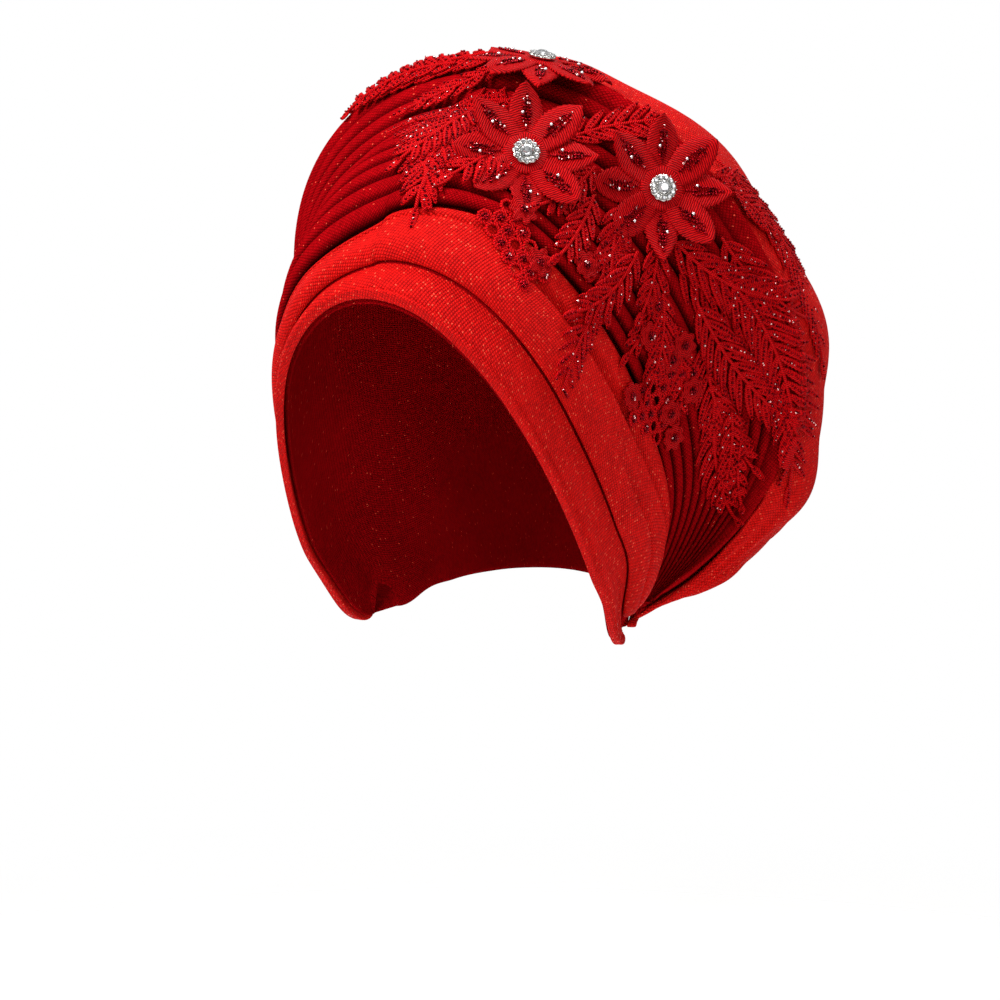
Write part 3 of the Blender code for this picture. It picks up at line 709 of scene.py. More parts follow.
def woven_cloth(name, colours, pitch_mm, turn, fleck_share, roughness, paint_crease_shade=False, shine=0.06):
    """Aso oke-like cloth: thick plain-woven yarn with a metal thread twisted in. The eye gets
    a grid of small bumps with painted shade in the pits between them, and scattered warm
    glints: flecks of the metal thread's colour on the yarn tops, partly painted highlight.
    Where asked, painted shade darkens the creases. The yarns are drawn about twice as wide
    as real ones, which would be too fine to show."""
    material = new_material(name)
    bright, shade, fleck_glint = colours
    across, along = thread_marks(material, pitch_mm, turn)
    warp = add(material, MATHS, {0: across}, operation="SINE")[0]
    weft = add(material, MATHS, {0: along}, operation="SINE")[0]
    both = add(material, MATHS, {0: warp, 1: weft}, operation="MULTIPLY")[0]
    over = add(material, MATHS, {0: both, 1: 1.6, 2: 0.5}, operation="MULTIPLY_ADD")[0]
    over = add(material, "ShaderNodeClamp", {0: over})[0]
    rounds, counts = [], []
    for wave, angle in ((warp, across), (weft, along)):
        rise = add(material, MATHS, {0: wave}, operation="ABSOLUTE")[0]
        rounds.append(add(material, MATHS, {0: rise, 1: 0.6}, operation="POWER")[0])
        count = add(material, MATHS, {0: angle, 1: pi}, operation="DIVIDE")[0]
        counts.append(add(material, MATHS, {0: count}, operation="FLOOR")[0])
    yarn = add(material, MIX, {0: over, 2: rounds[0], 3: rounds[1]}, data_type="FLOAT")[0]
    swell = add(material, MATHS, {0: both}, operation="ABSOLUTE")[0]
    swell = add(material, MATHS, {0: swell, 1: 0.55, 2: 0.45}, operation="MULTIPLY_ADD")[0]
    height = add(material, MATHS, {0: yarn, 1: swell}, operation="MULTIPLY")[0]

    # Metal-thread flecks, partly painted highlight: random yarn crossings take the bright fleck colour, only
    # on the yarn tops, as glints
    cell = add(material, "ShaderNodeCombineXYZ", {0: counts[0], 1: counts[1]})[0]
    chance = add(material, "ShaderNodeTexWhiteNoise", {0: cell}, noise_dimensions="2D")[0]
    lit = add(material, MATHS, {0: chance, 1: 1 - fleck_share}, operation="GREATER_THAN")[0]
    raised = add(material, MATHS, {0: height, 1: 0.74}, operation="GREATER_THAN")[0]
    glint = add(material, MATHS, {0: lit, 1: raised}, operation="MULTIPLY")[0]

    # Faint clouds, 26 mm across, from handling
    place = add(material, "ShaderNodeTexCoord")["Object"]
    clouds = add(material, NOISE, {"Vector": place, "Scale": 38.0, "Detail": 3.0, "Roughness": 0.6})[0]
    uneven = add(material, MATHS, {0: clouds, 1: 0.5, 2: -0.25}, operation="MULTIPLY_ADD")[0]
    yarn_tone = add(material, MATHS, {0: chance, 1: 0.45, 2: -0.22}, operation="MULTIPLY_ADD")[0]
    # Painted shade: the pits between the yarns take the shade colour and the yarn tops the bright one, mixed
    # with random tone from the clouds and from each yarn
    depth = add(material, MATHS, {0: height, 1: uneven}, operation="ADD")[0]
    depth = add(material, MATHS, {0: depth, 1: yarn_tone}, operation="ADD")[0]
    depth = add(material, RANGE, {"Value": depth, "From Min": -0.20, "From Max": 0.90})[0]
    cloth = add(material, MIX, {0: depth, 6: shade, 7: bright}, data_type="RGBA")[2]
    colour = add(material, MIX, {0: glint, 6: cloth, 7: fleck_glint}, data_type="RGBA")[2]
    # Painted shade: points that lie closed in a crease are darkened towards near black
    if paint_crease_shade:
        open_face = add(material, "ShaderNodeAttribute", attribute_name="crease")["Fac"]
        shaded = add(material, RANGE, {"Value": open_face, "From Min": 0.0, "From Max": 0.75})[0]
        colour = add(material, MIX, {0: shaded, 6: linear("#240003"), 7: colour}, data_type="RGBA")[2]
    deep = pitch_mm * MM * THREAD_DEPTH
    bump = add(material, "ShaderNodeBump", {"Height": height, "Strength": 1.0, "Distance": deep})[0]
    metal = add(material, MATHS, {0: glint, 1: 0.35}, operation="MULTIPLY")[0]
    rough = add(material, MATHS, {0: glint, 1: -0.30, 2: roughness}, operation="MULTIPLY_ADD")[0]
    finish = {"Base Color": colour, "Normal": bump, "Metallic": metal, "Roughness": rough}
    finish.update({"Specular IOR Level": shine, "Sheen Weight": shine / 3, "Sheen Roughness": 0.45})
    finish["Sheen Tint"] = linear("#FF4030")
    feed(material, material.node_tree.nodes[SURFACE], finish)
    return material


def satin_thread(name, colours, stitch_mm, slant, roughness=0.50):
    """Rayon embroidery thread laid side by side in satin stitch: glossy fine ridges that run out
    from the middle of each petal or leaf, with painted shade in the grooves between them. The
    stitches are drawn coarse enough to show."""
    material = new_material(name)
    bright, shade = colours
    along, across = thread_marks(material, stitch_mm)
    away = add(material, MATHS, {0: across}, operation="ABSOLUTE")[0]
    slanted = add(material, MATHS, {0: away, 1: slant, 2: along}, operation="MULTIPLY_ADD")[0]
    # Loose threads, some 2.4 mm apart
    place = add(material, "ShaderNodeTexCoord")["Object"]
    loose = add(material, NOISE, {"Vector": place, "Scale": 420.0, "Detail": 1.0})[0]
    slanted = add(material, MATHS, {0: loose, 1: 1.3, 2: slanted}, operation="MULTIPLY_ADD")[0]
    ridge = add(material, MATHS, {0: slanted}, operation="SINE")[0]
    ridge = add(material, MATHS, {0: ridge}, operation="ABSOLUTE")[0]
    ridge = add(material, MATHS, {0: ridge, 1: 0.7}, operation="POWER")[0]
    uneven = add(material, MATHS, {0: loose, 1: 0.5, 2: -0.25}, operation="MULTIPLY_ADD")[0]
    depth = add(material, MATHS, {0: ridge, 1: uneven}, operation="ADD")[0]
    depth = add(material, RANGE, {"Value": depth, "From Min": 0.0, "From Max": 0.95})[0]
    # Painted shade: the grooves between the stitches take the shade colour and the ridges the bright one,
    # with random tone from the loose threads
    colour = add(material, MIX, {0: depth, 6: shade, 7: bright}, data_type="RGBA")[2]
    deep = stitch_mm * MM * THREAD_DEPTH
    bump = add(material, "ShaderNodeBump", {"Height": ridge, "Strength": 1.0, "Distance": deep})[0]
    finish = {"Base Color": colour, "Normal": bump, "Roughness": roughness}
    finish.update({"Specular IOR Level": 0.06, "Sheen Weight": 0.02, "Sheen Tint": linear("#FF4050")})
    feed(material, material.node_tree.nodes[SURFACE], finish)
    return material


def glitter_bead(name, dark, bright, painted_sparkle):
    """Foiled glass seed beads and glitter in gum: each bead takes its own tone, from nearly black
    wine red to bright pink, and a few are painted pale pink as glints. The foil behind the glass
    makes each act as tinted metal."""
    material = new_material(name)
    # Cells of about 1.1 mm, so that a bead has one or two tones
    place = add(material, "ShaderNodeTexCoord")["Object"]
    cells = add(material, "ShaderNodeTexVoronoi", {"Vector": place, "Scale": 900.0})["Color"]
    tone = add(material, "ShaderNodeSeparateColor", {0: cells})
    body = add(material, MIX, {0: tone[0], 6: dark, 7: bright}, data_type="RGBA")[2]
    # Painted glints: about one bead cell in seventeen takes the pale sparkle colour, standing in for a flash
    # of light
    spark = add(material, MATHS, {0: tone[1], 1: 0.94}, operation="GREATER_THAN")[0]
    colour = add(material, MIX, {0: spark, 6: body, 7: painted_sparkle}, data_type="RGBA")[2]
    rough = add(material, MATHS, {0: tone[2], 1: 0.25, 2: 0.12}, operation="MULTIPLY_ADD")[0]
    finish = {"Base Color": colour, "Roughness": rough, "Metallic": 1.0}
    feed(material, material.node_tree.nodes[SURFACE], finish)
    return material


def polished_alloy(name, hollow, bright):
    """Rhodium-plated zinc alloy, polished: bright silver with darker spots spread at random."""
    material = new_material(name)
    # Darker spots of about 1.1 mm, spread at random
    place = add(material, "ShaderNodeTexCoord")["Object"]
    wear = add(material, NOISE, {"Vector": place, "Scale": 900.0, "Detail": 2.0})[0]
    # The colour named hollow goes to random spots, not to the hollows
    tone = add(material, MIX, {0: wear, 6: hollow, 7: bright}, data_type="RGBA")[2]
    rough = add(material, MATHS, {0: wear, 1: 0.20, 2: 0.10}, operation="MULTIPLY_ADD")[0]
    finish = {"Base Color": tone, "Roughness": rough, "Metallic": 1.0}
    feed(material, material.node_tree.nodes[SURFACE], finish)
    return material


def foiled_rhinestone(name, shaded, bright):
    """Cut lead-free glass with a foil back, which acts as a mirror with a clear coat. Its flashes of
    white and dark are partly painted, as small cells from grey to white."""
    material = new_material(name)
    # Painted flashes: cells of about 0.8 mm, each painted somewhere from grey to white
    place = add(material, "ShaderNodeTexCoord")["Object"]
    facets = add(material, "ShaderNodeTexVoronoi", {"Vector": place, "Scale": 1300.0})["Color"]
    tone = add(material, "ShaderNodeSeparateColor", {0: facets})[0]
    colour = add(material, MIX, {0: tone, 6: shaded, 7: bright}, data_type="RGBA")[2]
    finish = {"Base Color": colour, "Metallic": 0.85, "Roughness": 0.06}
    finish.update({"Coat Weight": 1.0, "Coat Roughness": 0.02})
    feed(material, material.node_tree.nodes[SURFACE], finish)
    return material


def matt_paper(name, shaded, bright):
    """Seamless background paper: pale, matt and faintly uneven. Its outer part melts into the
    white of the studio, so that no edge shows."""
    material = new_material(name)
    place = add(material, "ShaderNodeTexCoord")["Object"]
    pulp = add(material, NOISE, {"Vector": place, "Scale": 6.0, "Detail": 4.0})[0]
    tone = add(material, MIX, {0: pulp, 6: shaded, 7: bright}, data_type="RGBA")[2]
    shader = material.node_tree.nodes[SURFACE]
    feed(material, shader, {"Base Color": tone, "Roughness": 0.9, "Specular IOR Level": 0.1})
    away = add(material, "ShaderNodeVectorMath", {0: place}, operation="LENGTH")["Value"]
    edges = {"Value": away, "From Min": PAPER_FADES[0], "From Max": PAPER_FADES[1]}
    fade = add(material, RANGE, edges, interpolation_type="SMOOTHSTEP")[0]
    clear = add(material, "ShaderNodeBsdfTransparent")[0]
    blend = add(material, "ShaderNodeMixShader", {0: fade, 1: shader.outputs[0], 2: clear})[0]
    feed(material, material.node_tree.nodes["Material Output"], {"Surface": blend})
    return material


# Cloth pieces

STATIONS = 241


def stations(inset=0.0):
    """The places along the wrap at which its sections are built."""
    return [-1 + inset + (2 - 2 * inset) * k / (STATIONS - 1) for k in range(STATIONS)]


def wrapped_ring(along, start, end, profile, relief):
    """A closed section of a fold; relief adds height to its outer face."""
    base = CLOTH + SEAT
    past = max(0, (abs(along) - TIP_START) / (1 - TIP_START))
    full = sqrt(max(0.0004, 1 - past * past))
    middle, half = (start + end) / 2, (end - start) / 2
    ring = []
    for share, height in profile:
        outer = min(max((height - base) / FOLD, 0), 1) * full
        raised = base + (height - base) * full + outer * relief(along, share)
        ring.append(wrap_point(along, middle + half * (2 * share - 1) * full, raised))
    return ring


def groove(share, at, wide):
    """A narrow valley across a band, 1 deep at its middle."""
    return exp(-(((share - at) / wide) ** 2))


def tie_gathers(along, share, ridges):
    """Lengthwise ridges that build up where the folds are drawn in to the tie points."""
    drawn = ease((abs(along) - 0.40) / 0.35)
    wander = 0.35 * even(along * 2.5, share * 2, 7.7)
    return TIE_GATHER * drawn * sin(2 * pi * (ridges * share + wander))


def front_relief(along, share):
    """The front band's soft dents, its stitched hem and a fold near each tie."""
    soft = 0.00050 * even(along * 6, share * 1.8, 1.3)
    hem = -0.00035 * groove(share, 0.16, 0.025)
    low = -LOW_FOLD * ease((abs(along) - 0.72) / 0.12) * groove(share, 0.58 + 0.10 * along, 0.05)
    return soft + hem + low + tie_gathers(along, share, 1.3)


def second_relief(along, share):
    """The second band's dents, its hem on top, and the lapped folds that run down to the ties."""
    soft = 0.00060 * even(along * 5, share * 1.5, 4.1)
    hem = -0.0011 * groove(share, 0.80, 0.030) * (1 - ease((abs(along) - 0.30) / 0.15))
    lap = share - (0.60 + 0.9 * max(0, abs(along) - 0.62) ** 1.5)
    drawn = ease((abs(along) - 0.30) / 0.15)
    rear = drawn * (0.0006 * groove(lap, -0.07, 0.05) - LAPPED_FOLD * groove(lap, 0.03, 0.045))
    fold_at = 0.22 + 0.12 * abs(along) + 0.03 * even(along * 6, 0.5, 1.9)
    fold = -NEAR_FOLD * ease((abs(along) - 0.55) / 0.18) * groove(share, fold_at, 0.06)
    return soft + hem + rear + fold + tie_gathers(along, share, 1.6)


def lay_band(name, first, last, profile, relief, material, steps):
    """A padded fold over the head between two of its edges."""
    mesher = Mesher()
    ring_rows = smooth_ring(profile, steps)
    rings = []
    for along in stations():
        start = edge(first, along)
        end = edge(last, along)
        end -= angle_for(BAND_CLEARANCE, along, end)
        rings.append(wrapped_ring(along, start, end, ring_rows, relief))
    mesher.loft(rings)
    return mesher.sew(name, material, [name])


def lay_cap(material):
    """The cap that carries the folds, with both of its edges turned in."""
    mesher = Mesher()
    hem = CLOTH + 0.0005
    profile = smooth_ring(
        (
            (0.0, 0.0), (-0.004, CLOTH * 0.6), (0.01, hem), (0.05, hem), (0.07, CLOTH), (0.20, CLOTH),
            (0.35, CLOTH), (0.50, CLOTH), (0.65, CLOTH), (0.80, CLOTH), (0.93, CLOTH), (0.95, hem),
            (0.99, hem), (1.004, CLOTH * 0.6), (1.0, 0.0), (0.85, 0.0), (0.7, 0.0), (0.55, 0.0),
            (0.4, 0.0), (0.25, 0.0), (0.1, 0.0),
        ),
        3,
    )
    rings = []
    for along in stations(0.02):
        start = edge("hem", along) + angle_for(0.003, along, edge("hem", along))
        end = edge("nape", along)
        ring = []
        for share, height in profile:
            soft = 0.0003 * even(along * 7, share * 5, 2.2) if height > 0.5 * CLOTH else 0
            ring.append(wrap_point(along, start + (end - start) * share, height + soft))
        rings.append(ring)
    mesher.loft(rings)
    # The cap lies open everywhere, so no crease shade is painted on it
    mesher.crease_openness = [1.0] * len(mesher.points)
    return mesher.sew("cap", material, ["cap"])


def halo_ring(along):
    """The pleats' section, with how open each point lies, for the painted shade in the creases between the
    cords: corded ribs, the rim's roll, the back.
    """
    frame_here = halo_frame(along)
    foot, rim, across, front, ribs_end, rib = frame_here
    flat = across.normalized()
    ring = []
    crease_openness = []
    steps = 9
    for k in range(RIB_COUNT):
        drift = 0.10 * even(along * 3.0, k * 1.7, 5.5)
        full = 1 + 0.12 * even(along * 5.0, k * 2.3, 9.1)
        for step in range(steps):
            t = step / steps
            share = ribs_end * (k + t + drift * sin(pi * t)) / RIB_COUNT
            ring.append(halo_face(frame_here, share, rib * full * sin(pi * t) ** 0.55))
            # Open on each cord's crest, closed in the creases, where the cloth paints shade
            crease_openness.append(sin(pi * t))
    roll = min(RIM_ROLL, 0.22 * across.length)
    for step in range(13):
        spot = radians(-105 + 215 * step / 12)
        ring.append(rim + flat * roll * cos(spot) - front * roll * sin(spot) * 0.9)
    sink = HALO_SINK * min(1, across.length / 0.04)
    body = min(HALO_BODY, 0.3 * across.length)
    for step in range(10):
        u = 0.86 - 0.82 * step / 9
        base = foot + across * u - front * (sink * sin(pi * u) + body)
        ring.append(rest_on_head(base, CLOTH + 1.5 * SEAT))
    return ring, crease_openness + [1.0] * (len(ring) - len(crease_openness))


def pleat_halo(material):
    """The halo: sections of cords, rim and back, with how open each point lies, for the painted shade in its
    creases.
    """
    mesher = Mesher()
    sections = [halo_ring(along) for along in stations()]
    mesher.loft([ring for ring, _ in sections])
    mesher.crease_openness = [depth for _, crease_openness in sections for depth in crease_openness]
    return mesher.sew("pleated_halo", material, ["pleated_halo"])


def crown_relief(along, place):
    """Wide soft folds over the crown, and gathers where it is drawn in to the nape and the rim."""
    soft = CROWN_SWELL * even(along * 2.4, place * 2.2, 3.3) * sin(pi * min(place * 1.15, 1))
    wave = sin(2 * pi * (4.5 * along + 0.8 * even(along, place * 1.5, 0.4)))
    soft += CROWN_WAVE * wave * sin(pi * place)
    low = ease((place - 0.62) / 0.3)
    gathers = NAPE_GATHER * low * sin(2 * pi * (15 * along + 0.7 * even(along * 4, place * 3, 8.2)))
    tucks = RIM_TUCK * ease((0.10 - place) / 0.10) * sin(2 * pi * 24 * along)
    ends = ease((abs(along) - 0.70) / 0.25)
    drawn = END_GATHER * ends * sin(2 * pi * (5 * place + even(along * 3, place, 6.1)))
    return (soft + gathers + tucks) * (1 - ends) + drawn


def gather_crown(material):
    """The hollow crown: an outer and an inner face a cloth's thickness apart."""
    outer_steps = 48
    places = [k / outer_steps for k in range(outer_steps + 1)]
    grid = [[crown_point(along, place) for place in places] for along in stations()]
    last = len(grid) - 1
    middle = Vector((0, TIE_BACK, 0))
    mesher = Mesher()
    rings = []
    for i, row in enumerate(grid):
        along = stations()[i]
        outer = []
        inner = []
        for k, spot in enumerate(row):
            side = grid[min(i + 1, last)][k] - grid[max(i - 1, 0)][k]
            down = row[min(k + 1, outer_steps)] - row[max(k - 1, 0)]
            out = side.cross(down).normalized()
            if out.dot(spot - middle) < 0:
                out = -out
            raised = spot + out * max(crown_relief(along, places[k]), -CROWN_DIP)
            outer.append(raised)
            inner.append(raised - out * CLOTH)
        rings.append(outer + inner[::-4])
    mesher.loft(rings)
    return mesher.sew("crown_back", material, ["crown_back"])


def roll_nape(material):
    """The nape band, rolled and slightly twisted."""
    mesher = Mesher()
    bottom = CLOTH + SEAT
    profile = smooth_ring(
        (
            (0.0, bottom), (0.1, bottom + NAPE_ROLL * 0.7), (0.5, bottom + NAPE_ROLL),
            (0.9, bottom + NAPE_ROLL * 0.8), (1.0, bottom + NAPE_ROLL * 0.3), (0.9, bottom),
        ),
        4,
    )
    rings = []
    for along in stations():
        start = nape_top(along)
        end = edge("nape", along)
        ring = []
        for share, height in profile:
            twist = 0.0004 * sin(2 * pi * (1.5 * share + 3 * along)) if height > bottom * 1.2 else 0
            ring.append(wrap_point(along, start + (end - start) * share, height + twist))
        rings.append(ring)
    mesher.loft(rings)
    return mesher.sew("nape_band", material, ["nape_band"])


# Trim

def on_bed(tree, patch, x, y, height):
    """A flat pattern's point, dropped onto the bed and raised to a height over it."""
    spot, ahead, across, out = patch
    start = spot + ahead * x + across * y + out * 0.030
    place, normal, _, _ = tree.ray_cast(start, -out, 0.080)
    if place is None:
        place, normal, _, _ = tree.find_nearest(start - out * 0.030)
    if normal.dot(out) < 0:
        normal = -normal
    return place + normal * height


def turned_patch(patch, turn):
    """A patch whose way ahead is turned about its way out."""
    spot, ahead, across, out = patch
    spin = radians(turn)
    way = ahead * cos(spin) + across * sin(spin)
    return spot, way, out.cross(way), out


LEAF_SECTION = (
    # share of the half width, share of the thickness
    (-1.0, 0.0), (-0.95, 0.60), (-0.55, 1.00), (-0.15, 0.72),
    (0.15, 0.72), (0.55, 1.00), (0.95, 0.60), (1.0, 0.0),
)


def leaf(threads, beads, tree, patch, length, width, lift, thick, bead_size, bend=0.0, seed=0.0):
    """A satin-stitched leaf with zigzag edges and a row of glitter beads in its groove."""
    steps = max(8, round(length / (0.95 * MM)))
    rings = []
    for i in range(steps + 1):
        t = i / steps
        half = width / 2 * sin(pi * min(max(t * 0.96 + 0.02, 0.02), 0.99) ** 0.85) ** 0.6
        half *= 1 + (0.10 if i % 2 else -0.10)
        sway = bend * length * t * t
        rings.append(
            [
                on_bed(tree, patch, length * t, sway + half * side, lift + thick * up)
                for side, up in LEAF_SECTION
            ]
        )
    threads.loft(rings)
    if bead_size <= 0:
        return
    count = int(length * 0.74 / (bead_size * 1.9))
    for i in range(count):
        t = 0.18 + 0.74 * i / max(count - 1, 1)
        sway = bend * length * t * t + 0.8 * bead_size * even(i * 1.7, seed, 3.1)
        radius = bead_size * (0.75 + 0.5 * even(i * 2.9, seed, 0.7))
        place = on_bed(tree, patch, length * t, sway, lift + thick * 0.8 + radius * 0.4)
        beads.bead(place, radius)


def sew_plume(tree, row, threads, beads, sizes):
    """A corded stem with leaves on both sides, on the same line as the frame's plume."""
    _, start_along, start_across, end_along, end_across, bow, leaf_share, layer = row
    start = bed_point(start_along, start_across)
    end = bed_point(end_along, end_across)
    middle = bed_frame((start_along + end_along) / 2, (start_across + end_across) / 2)
    run = end - start
    turn = degrees(atan2(run.dot(middle[2]), run.dot(middle[1])))
    length = hypot(run.dot(middle[2]), run.dot(middle[1]))
    flat = turned_patch(middle, turn)

    def stem(share):
        """A point of the bowed stem on the cloth."""
        return on_bed(
            tree, flat, (share - 0.5) * length, 4 * bow * length * share * (1 - share), 0
        )

    def patch_at(share):
        """The place, way and outward direction that a leaf starts from."""
        spot = stem(share)
        ahead = stem(min(share + 0.02, 1)) - stem(max(share - 0.02, 0))
        _, out, _, _ = tree.find_nearest(spot)
        if out.dot(middle[3]) < 0:
            out = -out
        ahead = (ahead - out * ahead.dot(out)).normalized()
        return spot, ahead, out.cross(ahead), out

    path = []
    outs = []
    for i in range(33):
        spot, _, _, out = patch_at(i / 32)
        path.append(spot + out * (0.9 * MM + layer * LAYER_RISE))
        outs.append(out)
    threads.tube(path, 0.75 * MM, outs)
    seed = start_along * 37 + start_across * 11
    lift = sizes.lace_lift + layer * LAYER_RISE
    pairs = round(0.88 * length / (sizes.leaf_width * 1.75))
    for k in range(pairs):
        share = 0.04 + 0.90 * k / pairs
        patch = patch_at(share)
        size = leaf_share * length * (0.55 + 0.45 * sin(pi * min(share + 0.15, 1)))
        for side in (1, -1):
            jitter = 6 * even(k * 1.3, seed, side * 2.0)
            grown = size * (1 + 0.16 * even(k * 2.1, seed + 5, side))
            leaf(
                threads, beads, tree, turned_patch(patch, side * 38 + jitter), grown,
                sizes.leaf_width, lift + (0.25 * MM if k % 2 else 0), 0.8 * MM,
                sizes.bead_size / 2, bend=-0.10 * side, seed=seed + k + side * 0.5,
            )
    leaf(
        threads, beads, tree, patch_at(0.985), size * 0.9, sizes.leaf_width, lift, 0.8 * MM,
        sizes.bead_size / 2, seed=seed + 77,
    )


def bead_cluster(beads, tree, patch, x, y, spread, lift, size, count=6):
    """A few beads round a middle one."""
    beads.bead(on_bed(tree, patch, x, y, lift + size * 0.6), size * 1.1)
    for k in range(count):
        turn = 2 * pi * k / count
        place = on_bed(tree, patch, x + spread * cos(turn), y + spread * sin(turn), lift + size * 0.4)
        beads.bead(place, size)


def thread_ring(threads, tree, patch, x, y, radius, thick, lift, steps=16):
    """A buttonhole-stitched ring of thread, scalloped like picots."""
    rings = []
    for i in range(steps + 1):
        turn = 2 * pi * i / steps
        wave = 1 + (0.05 if i % 2 else -0.05)
        middle = radius * wave
        ring = []
        for side, up in ((-1, 0.1), (-0.6, 0.8), (0.0, 1.0), (0.6, 0.8), (1, 0.1)):
            away = middle + side * thick
            ring.append(
                on_bed(tree, patch, x + away * cos(turn), y + away * sin(turn), lift + thick * up)
            )
        rings.append(ring)
    threads.loft(rings, caps=False)


def sew_net(tree, row, threads, beads, sizes):
    """A net of thread rings that touch, some filled with beads inside a smaller ring."""
    _, along, across, turn, columns, rows = row
    patch = turned_patch(bed_frame(along, across), turn)
    step = NET_CELL * 0.88
    for j in range(rows):
        for i in range(columns - (j % 2)):
            x = (i - (columns - 1) / 2 + 0.5 * (j % 2)) * NET_CELL
            y = (j - (rows - 1) / 2) * step
            thread_ring(threads, tree, patch, x, y, NET_CELL * 0.44, 0.75 * MM, sizes.lace_lift)
            if (i + 2 * j) % 3 != 1:
                bead_cluster(
                    beads, tree, patch, x, y, 1.15 * MM, sizes.lace_lift + 0.5 * MM, sizes.bead_size * 0.5, 5
                )
                thread_ring(threads, tree, patch, x, y, NET_CELL * 0.26, 0.6 * MM, sizes.lace_lift)


def sew_floret(tree, patch, lift, threads, beads, sizes):
    """A small flower of rounded petals with a cluster of beads."""
    petals = 7
    for k in range(petals):
        petal_patch = turned_patch(patch, 360 * k / petals)
        leaf(
            threads, beads, tree, petal_patch, FLORET_ACROSS * 0.58, FLORET_ACROSS * 0.46,
            lift + (0.2 * MM if k % 2 else 0), 1.0 * MM, 0,
        )
    bead_cluster(beads, tree, patch, 0, 0, 1.3 * MM, lift + 1.2 * MM, sizes.bead_size * 0.5)


# Outlines of the petals: share of the length, share of the half width
PETAL_ROUND = (
    (0.0, 0.50), (0.25, 0.80), (0.45, 1.00), (0.62, 0.98), (0.80, 0.78), (0.93, 0.46), (1.0, 0.14)
)
PETAL_POINTED = (
    (0.0, 0.50), (0.25, 0.82), (0.45, 1.00), (0.62, 0.88), (0.80, 0.58), (0.93, 0.25), (1.0, 0.03)
)
# Rings of a flower's stitched middle: radius and height in millimetres
HEART_RINGS = (
    (0.2, -0.3), (3.0, -0.3), (5.5, -0.35), (8.0, -0.5), (9.2, -1.0), (8.8, -1.8), (4.0, -1.9), (0.2, -1.9)
)
# Rings of a cut stone: share of the radius, share of the height, turn in eighths
STONE_RINGS = ((0.55, 0.0, 0.0), (1.0, 0.42, 0.5), (1.0, 0.52, 0.5), (0.84, 0.78, 0.0), (0.55, 1.0, 0.5))
# Rings of a setting: share of the radius, share of the depth
SETTING_RINGS = (
    (0.20, 0.0), (0.92, 0.0), (1.0, 0.25), (0.97, 0.60), (0.80, 0.66),
    (0.60, 0.62), (0.54, 0.80), (0.50, 0.80), (0.48, 0.30), (0.20, 0.30),
)


def flower_frame(name, along, across, turn, tilt):
    """The middle of a flower, from where the frame's stone setting sits, and its three ways."""
    _, side, back, out = bed_frame(along, across)
    lean = radians(tilt)
    out_tilted = (out * cos(lean) - back * sin(lean)).normalized()
    back_tilted = out_tilted.cross(side).normalized()
    spin = radians(turn)
    ahead = side * cos(spin) + back_tilted * sin(spin)
    low, high = (Vector(corner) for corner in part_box("setting_" + name))
    seat = (low + high) / 2 - out_tilted * SETTING_DEEP * 0.4
    return seat, ahead, out_tilted.cross(ahead), out_tilted


